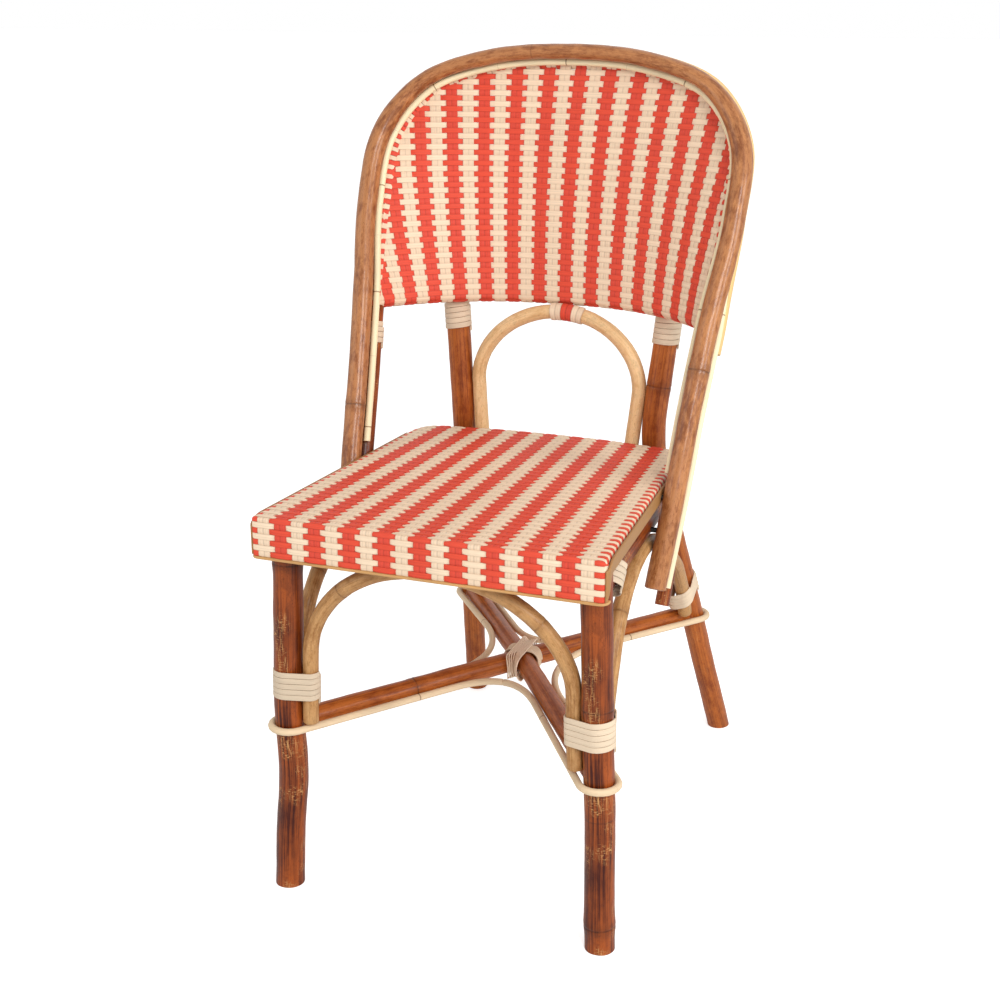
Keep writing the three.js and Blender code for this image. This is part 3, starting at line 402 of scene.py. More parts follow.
class Value:
    """A socket that takes part in arithmetic, each operation as a Math node."""

    def __init__(self, tree, socket):
        self.tree = tree
        self.socket = socket

    def _math(self, operation, first, second=None):
        node = self.tree.nodes.new("ShaderNodeMath")
        node.operation = operation
        for slot, value in zip(node.inputs, (first, second)):
            if isinstance(value, Value):
                self.tree.links.new(value.socket, slot)
            elif value is not None:
                slot.default_value = value
        return Value(self.tree, node.outputs[0])

    def __add__(self, other):
        return self._math("ADD", self, other)

    def __radd__(self, other):
        return self._math("ADD", other, self)

    def __sub__(self, other):
        return self._math("SUBTRACT", self, other)

    def __rsub__(self, other):
        return self._math("SUBTRACT", other, self)

    def __mul__(self, other):
        return self._math("MULTIPLY", self, other)

    def __rmul__(self, other):
        return self._math("MULTIPLY", other, self)

    def __abs__(self):
        return self._math("ABSOLUTE", self)


class Finish:
    """A material under construction."""

    def __init__(self, name):
        self.material = bpy.data.materials.new(name)
        self.material.use_nodes = True
        self.tree = self.material.node_tree
        self.shader = self.tree.nodes["Principled BSDF"]

    def add(self, kind, settings=None, inputs=None, output=0):
        """Adds a node of a type, with its settings first and then its sockets."""
        node = self.tree.nodes.new(kind)
        for key, value in (settings or {}).items():
            setattr(node, key, value)
        for key, value in (inputs or {}).items():
            self.feed(node.inputs[key], value)
        return Value(self.tree, node.outputs[output])

    def feed(self, socket, value):
        if isinstance(value, Value):
            self.tree.links.new(value.socket, socket)
        else:
            socket.default_value = value

    def attribute(self, name, output="Fac"):
        return self.add("ShaderNodeAttribute", {"attribute_name": name}, output=output)

    def stretched(self, x, y, z):
        """The place along the straightened piece, scaled for a pattern."""
        place = self.attribute("course", "Vector")
        return self.add(
            "ShaderNodeVectorMath", {"operation": "MULTIPLY"}, {0: place, 1: (x, y, z)}
        )

    def noise(self, scales, detail=3.0, rough=0.55):
        return self.add(
            "ShaderNodeTexNoise", {}, {"Vector": self.stretched(*scales), "Scale": 1.0,
                                       "Detail": detail, "Roughness": rough},
            output="Fac",
        )

    def either(self, first, second):
        return first._math("MAXIMUM", first, second)

    def between(self, value, low, high):
        """0 below the low limit, 1 above the high one."""
        return self.add(
            "ShaderNodeMapRange", {"interpolation_type": "SMOOTHSTEP"},
            {"Value": value, "From Min": low, "From Max": high},
        )

    def mix(self, share, first, second):
        node = self.tree.nodes.new("ShaderNodeMix")
        node.data_type = "RGBA"
        self.feed(node.inputs["Factor"], share)
        for socket, value in ((node.inputs[6], first), (node.inputs[7], second)):
            self.feed(socket, value if isinstance(value, Value) else (*value, 1.0))
        return Value(self.tree, node.outputs[2])

    def set(self, **values):
        """Sets or feeds the shader's own sockets."""
        for key, value in values.items():
            self.feed(self.shader.inputs[key.replace("_", " ")], value)

    def bump(self, height, strength, distance):
        normal = self.add(
            "ShaderNodeBump", {}, {"Height": height, "Strength": strength, "Distance": distance}
        )
        self.set(Normal=normal)


def linear(red, green, blue):
    """A colour as a paint chart gives it, from 0 to 255, for the renderer."""
    return tuple((part / 255) ** 2.2 for part in (red, green, blue))


WHITE = (1, 1, 1)
SCRATCHED_CANE = linear(196, 144, 90)


def darker(colour, share):
    return tuple(part * share for part in colour)


def pole_finish(name, light, dark, ring, scuff, gloss=0.3, streaks=0.35, coat=0.12, worn=0.0):
    """Skin of a rattan pole: long fibres, mottled stain, growth rings and pale scuffs."""
    f = Finish(name)
    fibre = f.noise((420, 420, 8), 5.0, 0.62)
    cloud = f.noise((26, 26, 13), 3.0)
    mottle = f.noise((190, 190, 75), 6.0, 0.7)
    speck = f.noise((800, 800, 320), 3.0, 0.6)
    tone = fibre * streaks + cloud * (0.3 + worn) + mottle * (0.7 - streaks - worn)
    tone = f.between(tone, 0.36 + worn * 0.2, 0.64 - worn * 0.2)
    colour = f.mix(tone, dark, light)
    stain = f.between(mottle, 0.5, 0.62) * f.between(cloud, 0.4, 0.58)
    colour = f.mix(stain * 0.35, colour, darker(dark, 0.55))
    colour = f.mix(f.between(speck, 0.58, 0.68) * 0.4, colour, darker(dark, 0.35))
    line = 1 - f.between(fibre, 0.32, 0.44)
    colour = f.mix(line * streaks * 0.7, colour, darker(dark, 0.35))
    far = abs(f.attribute("ring"))
    line_dark = 1 - f.between(far, 0.0005, 0.0016)
    halo = 1 - f.between(far, 0.002, 0.012)
    colour = f.mix(halo * 0.5 * mottle, colour, ring)
    colour = f.mix(line_dark * f.between(mottle, 0.3, 0.6) * 0.55, colour, darker(ring, 0.6))
    patch = f.between(f.noise((24, 24, 18), 2.0), 0.55 - worn * 0.3, 0.64 - worn * 0.3)
    along = f.between(f.noise((900, 900, 60), 4.0, 0.7), 0.56 - worn * 0.1, 0.64)
    round_it = f.between(f.noise((200, 200, 900), 4.0, 0.7), 0.58 - worn * 0.2, 0.66 - worn * 0.1)
    scratch = patch * f.either(along, round_it)
    colour = f.mix(scratch * scuff, colour, SCRATCHED_CANE)
    f.set(Base_Color=colour, Roughness=gloss + 0.25 * fibre + 0.25 * scratch)
    f.set(Specular_IOR_Level=0.22, Coat_Weight=coat, Coat_Roughness=0.14)
    f.bump(fibre * 0.3 + mottle * 0.35 - line_dark * 0.5 - scratch * 0.3, 0.3, 0.0006)
    return f.material


def cane_finish(name, light, dark, ring=None, gloss=0.4):
    """Peeled or skinned cane: fine fibres and a little colour change along its length."""
    f = Finish(name)
    fibre = f.noise((900, 900, 14), 4.0, 0.6)
    cloud = f.noise((60, 60, 20), 2.0)
    shade = f.attribute("shade")
    tone = f.between(fibre * 0.4 + cloud * 0.35 + shade * 0.25, 0.3, 0.7)
    colour = f.mix(tone, dark, light)
    if ring:
        mark = 1 - f.between(abs(f.attribute("ring")), 0.0004, 0.0011)
        colour = f.mix(mark * 0.75, colour, ring)
    f.set(Base_Color=colour, Roughness=gloss + 0.2 * fibre, Specular_IOR_Level=0.35)
    f.bump(fibre, 0.25, 0.0003)
    return f.material


def strand_finish(name, colour, deep):
    """A woven strand: fine lengthwise lines, a soft sheen, a shade of its own and painted shade at
    its edges.
    """
    f = Finish(name)
    lines = f.noise((1700, 1700, 8), 3.0, 0.6)
    cloud = f.noise((110, 110, 40), 3.0)
    tone = f.between(f.attribute("shade") * 0.8 + cloud * 0.2, 0.1, 0.9)
    colour = f.mix(tone, deep, colour)
    colour = f.mix((1 - f.between(lines, 0.34, 0.54)) * 0.34, colour, darker(deep, 0.5))
    # Painted shade: each strand's colour darkens towards its side edges, standing in for the shade
    # in the gaps between strands.
    side = f.between(abs(f.attribute("side")), 0.6, 1.0)
    colour = f.mix(side * 0.3, colour, darker(deep, 0.45))
    f.set(Base_Color=colour, Roughness=0.46 + 0.16 * lines, Specular_IOR_Level=0.22)
    f.bump(lines, 0.25, 0.0003)
    return f.material


def steel_finish(name):
    """Brushed steel for the bolts."""
    f = Finish(name)
    place = f.add("ShaderNodeTexCoord", output="Object")
    place = f.add("ShaderNodeVectorMath", {"operation": "MULTIPLY"}, {0: place, 1: (60, 900, 900)})
    grain = f.add("ShaderNodeTexNoise", {}, {"Vector": place, "Detail": 3.0}, output="Fac")
    f.set(Base_Color=f.mix(grain, darker(WHITE, 0.03), darker(WHITE, 0.07)))
    f.set(Roughness=0.5 + 0.2 * grain, Metallic=1.0)
    f.bump(grain, 0.15, 0.0002)
    return f.material


def cane_of(name, colour, shade, ring=None, gloss=0.4):
    return cane_finish(name, colour, darker(colour, shade), ring, gloss)


# Each finish from the chosen colours
FINISHES = {
    "brown_pole": lambda name, c: pole_finish(
        name, c.brown_light, c.brown_dark, linear(60, 28, 12), scuff=0.5),
    "hoop_pole": lambda name, c: pole_finish(
        name, c.hoop_light, c.hoop_dark, linear(70, 36, 18), scuff=0.4, gloss=0.28, streaks=0.12,
        coat=0.3),
    "dark_pole": lambda name, c: pole_finish(
        name, c.dark_light, c.dark_dark, linear(40, 18, 10), scuff=1.0, gloss=0.26, streaks=0.46,
        worn=0.13),
    "tan_pole": lambda name, c: pole_finish(
        name, c.tan_light, c.tan_dark, linear(110, 72, 40), scuff=0.3, gloss=0.36, streaks=0.25),
    "light_pole": lambda name, c: pole_finish(
        name, c.arch_light, c.arch_dark, linear(150, 106, 60), scuff=0.2, gloss=0.36, streaks=0.25),
    "pale_cane": lambda name, c: cane_of(name, c.pale_cane, 0.78, linear(120, 84, 46)),
    "peeled_cane": lambda name, c: cane_of(name, c.peeled_cane, 0.74, linear(120, 76, 40), 0.45),
    "honey_cane": lambda name, c: cane_of(name, c.honey_cane, 0.72, linear(130, 80, 40)),
    "tan_cane": lambda name, c: cane_of(name, c.tan_cane, 0.6, linear(110, 66, 34)),
    "binding_cane": lambda name, c: cane_of(name, c.binding, 0.78, gloss=0.5),
    # Painted light: the cane round the crossed stretchers takes a paler copy of the binding colour,
    # which lifts it out of the shade under the seat.
    "crossing_cane": lambda name, c: cane_finish(name, c.crossing, c.binding, gloss=0.5),
    "red_strand": lambda name, c: strand_finish(name, c.red, c.red_deep),
    "cream_strand": lambda name, c: strand_finish(name, c.cream, c.cream_deep),
    "bolt_steel": lambda name, c: steel_finish(name),
}
BOTH_STRANDS = "red_strand cream_strand"
made_finishes = {}


def finish_of(name):
    """The finish of this name, made when a piece first needs it."""
    if name not in made_finishes:
        made_finishes[name] = FINISHES[name](name, bpy.context.scene.chair_colours)
    return made_finishes[name]


# Legs --------------------------------------------------------------------------------------------

FRONT_RAIL_Y = SHEET + FIT + FRONT_RAIL
FRONT_RAIL_Z = SEAT_FRAME_Z - SEAT_FRAME - FIT - FRONT_RAIL
FRONT_TOP = Vector((
    SEAT_FRONT_WIDTH / 2 - 0.0225,
    FRONT_RAIL_Y + FRONT_RAIL + FIT + FRONT_LEG,
    SEAT_FRAME_Z - SEAT_FRAME - 2 * FIT,
))
REAR_BEND = Vector((SEAT_BACK_WIDTH / 2 - 0.048, SEAT_DEPTH + 0.007, SEAT_HEIGHT - 0.0035))
REAR_FOOT = Vector((REAR_BEND.x + 0.0589, SEAT_DEPTH + 0.1932, 0))
REAR_TOP = Vector((REAR_BEND.x + 0.0145, SEAT_DEPTH + 0.021, BACK_BOTTOM - FIT))
BELOW_FLOOR = -0.012
REAR_BEND_REACH = 0.045

# Bow towards +X and heights of the growth rings of the left (-1) and right (1) front leg
FRONT_LEG_BOW = {-1: 0.0055, 1: 0.0012}
FRONT_LEG_RINGS = {-1: (0.40,), 1: (0.288, 0.04)}


def front_leg_at(sign, z):
    share = z / FRONT_TOP.z
    x = lerp(FRONT_TOP.x + 0.0138, FRONT_TOP.x, share)
    return Vector((sign * x, lerp(FRONT_TOP.y - 0.0045, FRONT_TOP.y, share), z))


def rear_leg_at(sign, z):
    point = REAR_FOOT.lerp(REAR_BEND, z / REAR_BEND.z)
    return Vector((sign * point.x, point.y, z))


def upper_leg_at(sign, z):
    point = REAR_BEND.lerp(REAR_TOP, (z - REAR_BEND.z) / (REAR_TOP.z - REAR_BEND.z))
    return Vector((sign * point.x, point.y, z))


def front_leg(sign):
    """A front leg, bowed a little towards +X below its binding."""
    bow_z, bow_height = 0.14, 0.055
    points = []
    for i in range(41):
        z = lerp(BELOW_FLOOR, FRONT_TOP.z, i / 40)
        bow = FRONT_LEG_BOW[sign] * (math.exp(-(((z - bow_z) / bow_height) ** 2)) - 0.3)
        points.append(front_leg_at(sign, z) + EAST * bow)
    bm = new_shape()
    pole(bm, Course(points), FRONT_LEG, FRONT_LEG_RINGS[sign], seed=2 + sign, wander=0.0008)
    stand_flat(bm)
    return bm


def rear_leg(sign):
    """A rear leg, bent at the seat, with a growth ring near the top of the right one."""
    foot, top = rear_leg_at(sign, BELOW_FLOOR), upper_leg_at(sign, REAR_TOP.z)
    course = Course(bent([foot, rear_leg_at(sign, REAR_BEND.z), top], REAR_BEND_REACH))
    bm = new_shape()
    pole(bm, course, REAR_LEG, (course.length - 0.085,) if sign > 0 else (), seed=6 + sign)
    stand_flat(bm)
    return bm


# Back --------------------------------------------------------------------------------------------

HOOP_WIDTHS = (0, 0.4365, 0.784, 0.98, 1, 0.9505, 0.9098, 0.8802, 0.843)
HOOP_RISES = (1, 0.9857, 0.936, 0.831, 0.6815, 0.5121, 0.3362, 0.1648, 0)
HOOP_END_Z = SEAT_HEIGHT - 0.1025
HOOP_TOP_Z = SEAT_HEIGHT + 0.446
HOOP_SET_BACK = 0.0272
HOOP_SET_IN = 0.003


def hoop_y(rise):
    return SEAT_DEPTH - 0.1988 + 0.231 * (0.87 * rise + 0.13 * rise**2)


def hoop_course():
    arm_x = half_width_at(hoop_y(HOOP_RISES[7])) + FIT + BAND + 0.0011 + HOOP
    half = [
        Vector((width * arm_x / HOOP_WIDTHS[7], hoop_y(rise), lerp(HOOP_END_Z, HOOP_TOP_Z, rise)))
        for width, rise in zip(HOOP_WIDTHS, HOOP_RISES)
    ]
    return Course(through(mirrored(half[1:]) + half, 24))


HOOP_COURSE = hoop_course()
HOOP_LENGTH = HOOP_COURSE.length

# Growth rings and joints, as distances along the hoop
HOOP_RINGS = (HOOP_LENGTH * 0.109, HOOP_LENGTH * 0.842)
BEAD_JOINTS = (0.14, 0.3, 0.43, 0.58, 0.75, 0.9, 1.05, 1.2)


def hoop_flatten(z):
    """The hoop is shaved thinner where it goes over the top."""
    return lerp(0.935, 0.69, step_up(z, 0.80, 0.885)), 0.94


def drawn_in(z):
    """0 beside the arms and 1 at the shoulders and top, where the frame lies closer in."""
    return step_up(z, 0.60, 0.74)


def on_hoop(distance, low, high):
    """A station beside the hoop: low and high give its place inward and back, by drawn_in."""
    station = Station(HOOP_COURSE.at(distance), HOOP_COURSE.way(distance), BEHIND)
    share = drawn_in(station.point.z)
    return station.moved(lerp(low[0], high[0], share), lerp(low[1], high[1], share))


def beside_hoop(low, high, start, end, step=0.008):
    """Stations of a piece that follows the hoop, with its place measured along the hoop."""
    distances = spaced(start, end, step)
    return [on_hoop(d, low, high) for d in distances], distances


WRAP = BACK_FRAME + FIT + SHEET
POLE_SPACING = math.hypot(HOOP_SET_IN, HOOP_SET_BACK)

# Places inward and back from the hoop, beside the arms and at the top
FRAME_LOW = (HOOP_SET_IN, HOOP_SET_BACK)
FRAME_HIGH = (0.0105, HOOP_SET_BACK)
INNER_BEAD_HIGH = (0.0122, 0.0085)
OUTER_BEAD_HIGH = (0.0025, 0.0150)

# The frame's free ends: how far they pass the hoop's ends, lean out and back, and slim down
FRAME_OVERHANG = 0.024
FRAME_END_OUT = 0.007
FRAME_END_BACK = 0.008
FRAME_END_SLIM = 0.72

# The flat cane over the frame's outer edge: its middle and width as angles round the frame
EDGE_BAND_MIDDLE = math.radians(98)
EDGE_BAND_WIDTH = math.radians(68)
EDGE_BAND_THICKNESS = 0.0022


def groove(way):
    """Where a bead rests between hoop and frame: way is 1 for the inner and -1 for the outer."""
    to_hoop = HOOP + FIT + BEAD
    to_wrap = (WRAP + FIT + BEAD) * (1.1 if way > 0 else 1)
    along = (to_hoop**2 - to_wrap**2 + POLE_SPACING**2) / (2 * POLE_SPACING)
    aside = math.sqrt(to_hoop**2 - along**2)
    inward = (along * HOOP_SET_IN + way * aside * HOOP_SET_BACK) / POLE_SPACING
    return inward, (along * HOOP_SET_BACK - way * aside * HOOP_SET_IN) / POLE_SPACING


BACK_RAIL_Z = BACK_BOTTOM + SHEET + FIT + BACK_RAIL
CORNER = HOOP_COURSE.distance_at(BACK_RAIL_Z)
WRAP_MIDDLE = BACK_FRAME + FIT + SHEET / 2


def sheet_edge():
    """The edge of the woven sheet on the right-hand side, from its lower corner to its top."""
    row = []
    for i in range(61):
        d = lerp(HOOP_LENGTH - CORNER, HOOP_LENGTH / 2, i / 60)
        angle = math.radians(lerp(48, 22, i / 60))
        station = on_hoop(d, FRAME_LOW, FRAME_HIGH)
        inward, back = WRAP_MIDDLE * math.sin(angle), -WRAP_MIDDLE * math.cos(angle)
        row.append(station.moved(inward, back).point)
    return row


SHEET_EDGE = sheet_edge()
EDGE_HEIGHTS = [point.z for point in SHEET_EDGE]
WIDEST = max(SHEET_EDGE, key=lambda point: point.x)
SHEET_TOP = SHEET_EDGE[-1]


def edge_at(z):
    i = clamp(bisect_left(EDGE_HEIGHTS, z), 1, 60)
    a, b = SHEET_EDGE[i - 1], SHEET_EDGE[i]
    return a.lerp(b, clamp((z - a.z) / (b.z - a.z), 0, 1))


def sheet_y(x, z):
    rise = (z - BACK_BOTTOM) / (SHEET_TOP.z - BACK_BOTTOM)
    middle = lerp(SEAT_DEPTH + 0.020, SHEET_TOP.y, rise) + 0.008 * math.sin(math.pi * rise)
    edge = edge_at(z)
    out = min(abs(x) / max(edge.x, FIT), 1.015)
    return middle - (middle - edge.y) * out**2.5


def column_x(share, z):
    return share * (edge_at(z).x if z < WIDEST.z else WIDEST.x)


RAIL_REACH = SHEET / 2 + FIT + BACK_RAIL


def back_rail_at(share):
    x = column_x(share, BACK_RAIL_Z)
    slope = (sheet_y(x + 0.001, BACK_RAIL_Z) - sheet_y(x - 0.001, BACK_RAIL_Z)) / 0.002
    outward = Vector((-slope, 1, 0)).normalized()
    return Vector((x, sheet_y(x, BACK_RAIL_Z), BACK_RAIL_Z)) + outward * RAIL_REACH, outward


# The woven back as a surface: across is measured round the sitter, and up along the columns
ROLL = math.radians(190)


def across_table():
    """Shares of the half width against the distance from the middle, measured round the curve."""
    z = WIDEST.z - 0.04
    shares = [i / 100 * 1.015 for i in range(101)]
    row = [0.0]
    for a, b in zip(shares, shares[1:]):
        pa, pb = (Vector((column_x(s, z), sheet_y(column_x(s, z), z))) for s in (a, b))
        row.append(row[-1] + (pb - pa).length)
    return row


ACROSS = across_table()
BACK_HALF = ACROSS[-1]


def share_of(across):
    away = min(abs(across), BACK_HALF)
    i = clamp(bisect_left(ACROSS, away), 1, 100)
    share = (i - 1 + (away - ACROSS[i - 1]) / (ACROSS[i] - ACROSS[i - 1])) / 100 * 1.015
    return math.copysign(share, across)


def back_point(across, up):
    """A point of the back's middle surface: below 0 it rolls round the bottom rail."""
    share = share_of(across)
    if up < 0:
        turn = min(-up / RAIL_REACH, ROLL)
        point, outward = back_rail_at(share)
        return point - outward * RAIL_REACH * math.cos(turn) - UP * RAIL_REACH * math.sin(turn)
    z = BACK_RAIL_Z + up
    x = column_x(share, z)
    return Vector((x, sheet_y(x, z), z))


def back_place(across, up, height):
    """A point this high over the back's surface, on the sitter's side."""
    step = 0.001
    east = back_point(across + step, up) - back_point(across - step, up)
    north = back_point(across, up + step) - back_point(across, up - step)
    return back_point(across, up) + east.cross(north).normalized() * height


def back_stretch(across, up):
    """True length of a step across the back, as a share of the step."""
    step = 0.001
    across = clamp(across, 2 * step - BACK_HALF, BACK_HALF - 2 * step)
    return (back_point(across + step, up) - back_point(across - step, up)).length / (2 * step)


def back_columns_at(up):
    """Middle, pitch, lean and spread of the back's columns at a height over the bottom rail."""
    up = max(0.0, up)
    return (0.0047 - 0.0711 * up + 0.3754 * up**2, 0.0337 - 0.0059 * up + 0.0699 * up**2,
            -0.0019 * up, 0.000704 * up - 0.000073)


def back_column_at(column, up):
    """Where a column of the back runs: they spread a little towards the top."""
    middle, pitch, lean, spread = back_columns_at(up)
    return middle + column * (pitch + column * (lean + column * spread))


def back_column_of(across, up):
    """Which column of the back runs through a point, as a number with parts."""
    middle, pitch, lean, spread = back_columns_at(up)
    column = (across - middle) / pitch
    for _ in range(4):
        slope = pitch + column * (2 * lean + 3 * spread * column)
        column -= (back_column_at(column, up) - across) / slope
    return column


# Seat surface ------------------------------------------------------------------------------------

EDGE = SEAT_EDGE_ROUND - SHEET / 2
FACE = SEAT_HEIGHT - SHEET / 2 - EDGE - SEAT_BOTTOM
FACE_TURN = EDGE * math.pi / 2
# On top of the seat, the run along its surface less the distance behind its front edge
RUN_AHEAD = FACE + FACE_TURN - SHEET / 2 - EDGE
# The pattern lies this far off the seat's middle
SEAT_SHIFT = 0.0017
# Behind this depth the sheet bends over the rear outline, and before it over the sides
REAR_PART_Y = 0.2


def seat_outline(inset, front_corner):
    """Half of the seat's outline seen from above, from the middle of the back to the front."""

    def side(y):
        return Vector((half_width_at(y) - inset, y, 0))

    back_y = SEAT_DEPTH - inset
    corner = side(back_y - SEAT_BACK_BOW)
    rear = corner - EAST * (SEAT_BACK_CORNER - inset)
    front = side(inset)
    row = quadratic(Vector((0, back_y, 0)), Vector((rear.x / 2, back_y, 0)), rear)
    row += quadratic(rear, corner, side(CORNER_Y))
    row += quadratic(side(inset + front_corner), front, front - EAST * front_corner)
    return [*row, Vector((0, inset, 0))]


REAR_OUTLINE = seat_outline(SEAT_EDGE_ROUND, SEAT_FRONT_CORNER)[:27]


def nearest_rear(x, y):
    """Distance past the seat's rear outline, the nearest point on it and the way out."""
    best = None
    place = Vector((abs(x), y, 0))
    for a, b in zip(REAR_OUTLINE, REAR_OUTLINE[1:]):
        run = b - a
        if run.length < 1e-9:
            continue
        share = clamp((place - a).dot(run) / run.length_squared, 0, 1)
        near = a + run * share
        apart = (place - near).length
        if best is None or apart < best[0]:
            best = (apart, near, Vector((-run.y, run.x, 0)).normalized() * -1)
    apart, near, out = best
    if out.dot(Vector((near.x, near.y - REAR_PART_Y, 0))) < 0:
        out = -out
    if (place - near).dot(out) < 0:
        return 0.0, place, out
    return apart, near, out


def seat_place(x, run, height):
    """A point over the seat's middle surface: run goes up the face, over its edge and back."""
    top = SEAT_HEIGHT - SHEET / 2
    y = run - RUN_AHEAD
    if y > REAR_PART_Y:
        past, near, out = nearest_rear(x, y)
        angle = min(past / EDGE, math.pi / 2)
        drop = max(0.0, past - FACE_TURN)
        flat = near if past > 0 else Vector((abs(x), y, 0))
        normal = out * math.sin(angle) + UP * math.cos(angle)
        point = flat + out * EDGE * math.sin(angle)
        point.z = top - EDGE * (1 - math.cos(angle)) - drop
        point += normal * height
        return Vector((math.copysign(point.x, x), point.y, point.z))
    if run < FACE:
        centre, normal = Vector((0, SHEET / 2, SEAT_BOTTOM + run)), -BEHIND
    elif run < FACE + FACE_TURN:
        turn = (run - FACE) / EDGE
        normal = UP * math.sin(turn) - BEHIND * math.cos(turn)
        centre = Vector((0, SHEET / 2 + EDGE, top - EDGE)) + normal * EDGE
    else:
        centre, normal = Vector((0, y, top)), UP
    limit = half_width_at(max(y, 0)) - SEAT_EDGE_ROUND
    past = max(0.0, abs(x) - limit)
    angle = min(past / EDGE, math.pi / 2)
    drop = max(0.0, past - FACE_TURN)
    side = min(abs(x), limit) + EDGE * math.sin(angle)
    outward = normal * math.cos(angle) + EAST * math.copysign(math.sin(angle), x)
    centre = centre - normal * (EDGE * (1 - math.cos(angle)) + drop)
    return Vector((math.copysign(side, x), 0, 0)) + centre + outward * height


# Weave -------------------------------------------------------------------------------------------


def strand(bm, count, place, shade, colour, width, course_at):
    """One flat strand of count steps: place gives a point from a step, a side and a depth."""
    course = bm.verts.layers.float_vector["course"]
    tint = bm.verts.layers.float["shade"]
    beside = bm.verts.layers.float["side"]
    stepped = bm.verts.layers.float["step"]
    made = bmesh.ops.create_grid(bm, x_segments=count, y_segments=3, size=0.5)["verts"]
    for vert in made:
        step = round((vert.co.x + 0.5) * count)
        vert[stepped] = step
        vert[beside] = vert.co.y * 2
        vert[course] = (vert.co.y * width, 0, course_at(step))
        vert[tint] = shade
    faces = list(dict.fromkeys(face for vert in made for face in vert.link_faces))
    under = bmesh.ops.extrude_face_region(bm, geom=faces, use_keep_orig=True)["geom"]
    under = [part for part in under if isinstance(part, bmesh.types.BMVert)]
    depth = bpy.context.scene.chair_weave.strand_thickness
    for verts, drop in ((made, 0), (under, depth)):
        for vert in verts:
            vert.co = place(vert[stepped], vert[beside], drop)
            for face in vert.link_faces:
                face.material_index = colour


def crowned(side):
    """How far a strand's surface lies under its middle, at a side from -1 to 1."""
    return -0.00028 * abs(side) ** 3


def floats(value):
    """A wave that stays long at its high and low ends."""
    return math.sin(math.pi / 2 * clamp(1.7 * value, -1, 1))


RED, CREAM = 0, 1


def pair_at(index):
    """Colour of the pair of warps at a half-pitch from the middle: odd ones are cream."""
    return CREAM if index % 2 else RED


def weave_wefts(bm, rows, reach, column_of, surface, settings, seed, columns, edge=99):
    """Strands from side to side: each goes over the pairs of its own colour, and past the edge
    column all of them stay on top."""
    rng = Random(seed)
    rise = settings.strand_thickness * 0.55
    width = settings.weft_width
    count = 12 * columns
    for row, run in rows:
        colour = row % 2
        half = reach(run)
        shade = lerp(0.62, 1, rng.random())

        def place(step, side, depth, run=run, half=half, colour=colour):
            across = lerp(-half, half, step / count)
            column = column_of(across, run)
            over = floats(math.cos(2 * math.pi * (column - 0.5 * colour)))
            over = lerp(over, 0.7, step_up(abs(column), edge - 0.1, edge))
            wide = lerp(0.97, 1, step_up(over, -0.2, 0.9))
            height = rise * over + crowned(side) - depth
            return surface(across, run + side * width / 2 * wide, height)

        strand(bm, count, place, shade, colour, width, lambda step, h=half: 2 * h * step / count)


def weave_warps(bm, pairs, span, column_at, surface, settings, seed, stretch):
    """Pairs of strands along the columns: each goes under the wefts of its own colour."""
    rng = Random(seed)
    rise = settings.strand_thickness * 0.55
    width = settings.warp_width
    row_pitch = settings.row_pitch
    for index, places in pairs:
        colour = pair_at(index)
        for offset in places:
            start, end = span(index, offset)
            count = max(4, round(3 * (end - start) / row_pitch))
            shade = lerp(0, 0.38, rng.random())

            def place(step, side, depth, start=start, end=end, count=count, offset=offset,
                      index=index, colour=colour):
                run = lerp(start, end, step / count)
                own = floats(math.cos(math.pi * (run / row_pitch - 0.5 + colour)))
                middle = column_at(index / 2, run)
                across = middle + (offset + side * width / 2) / stretch(middle, run)
                return surface(across, run, -rise * own + crowned(side) - depth)

            strand(bm, count, place, shade, colour, width,
                   lambda step, n=count, a=start, b=end: lerp(a, b, step / n))


# Operators ---------------------------------------------------------------------------------------


def colour(name, description, red, green, blue):
    return FloatVectorProperty(
        name=name, description=description, subtype="COLOR", default=linear(red, green, blue))


def number(name, description, default):
    return FloatProperty(name=name, description=description, default=default)


def length(name, description, default):
    return FloatProperty(name=name, description=description, default=default, unit="LENGTH")


class ChairColours(bpy.types.PropertyGroup):
    """Colours of the chair's canes, poles and strands."""

    hoop_light: colour("Hoop", "Lighter tone of the hoop", 198, 134, 84)
    hoop_dark: colour("Hoop, dark", "Darker tone of the hoop", 122, 68, 36)
    brown_light: colour("Brown pole", "Lighter tone of rear legs and stretchers", 196, 110, 48)
    brown_dark: colour("Brown pole, dark", "Darker tone of rear legs and stretchers", 124, 58, 24)
    dark_light: colour("Dark pole", "Lighter tone of the front legs", 160, 79, 32)
    dark_dark: colour("Dark pole, dark", "Darker tone of the front legs", 66, 22, 8)
    tan_light: colour("Tan pole", "Lighter tone of the arches under the seat", 210, 162, 108)
    tan_dark: colour("Tan pole, dark", "Darker tone of the arches under the seat", 150, 102, 56)
    arch_light: colour("Light pole", "Lighter tone of the back's arch", 244, 208, 158)
    arch_dark: colour("Light pole, dark", "Darker tone of the back's arch", 206, 160, 108)
    pale_cane: colour("Pale cane", "Beads beside the hoop", 252, 236, 194)
    peeled_cane: colour("Peeled cane", "Canes round the legs", 238, 210, 172)
    honey_cane: colour("Honey cane", "Bands round the seat and the back", 252, 206, 136)
    tan_cane: colour("Tan cane", "Cane under the seat's front edge", 216, 164, 104)
    binding: colour("Binding", "Flat cane of the bindings", 226, 204, 176)
    # Painted light: a paler copy of the binding colour, which lifts the crossing's cane out of the
    # shade under the seat.
    crossing: colour("Crossing", "Flat cane round the crossed stretchers", 252, 226, 200)
    red: colour("Red strand", "Red strands from side to side", 222, 79, 57)
    red_deep: colour("Red strand, deep", "Red strands along the columns", 214, 76, 60)
    cream: colour("Cream strand", "Cream strands from side to side", 240, 214, 184)
    cream_deep: colour("Cream strand, deep", "Cream strands along the columns", 230, 203, 174)


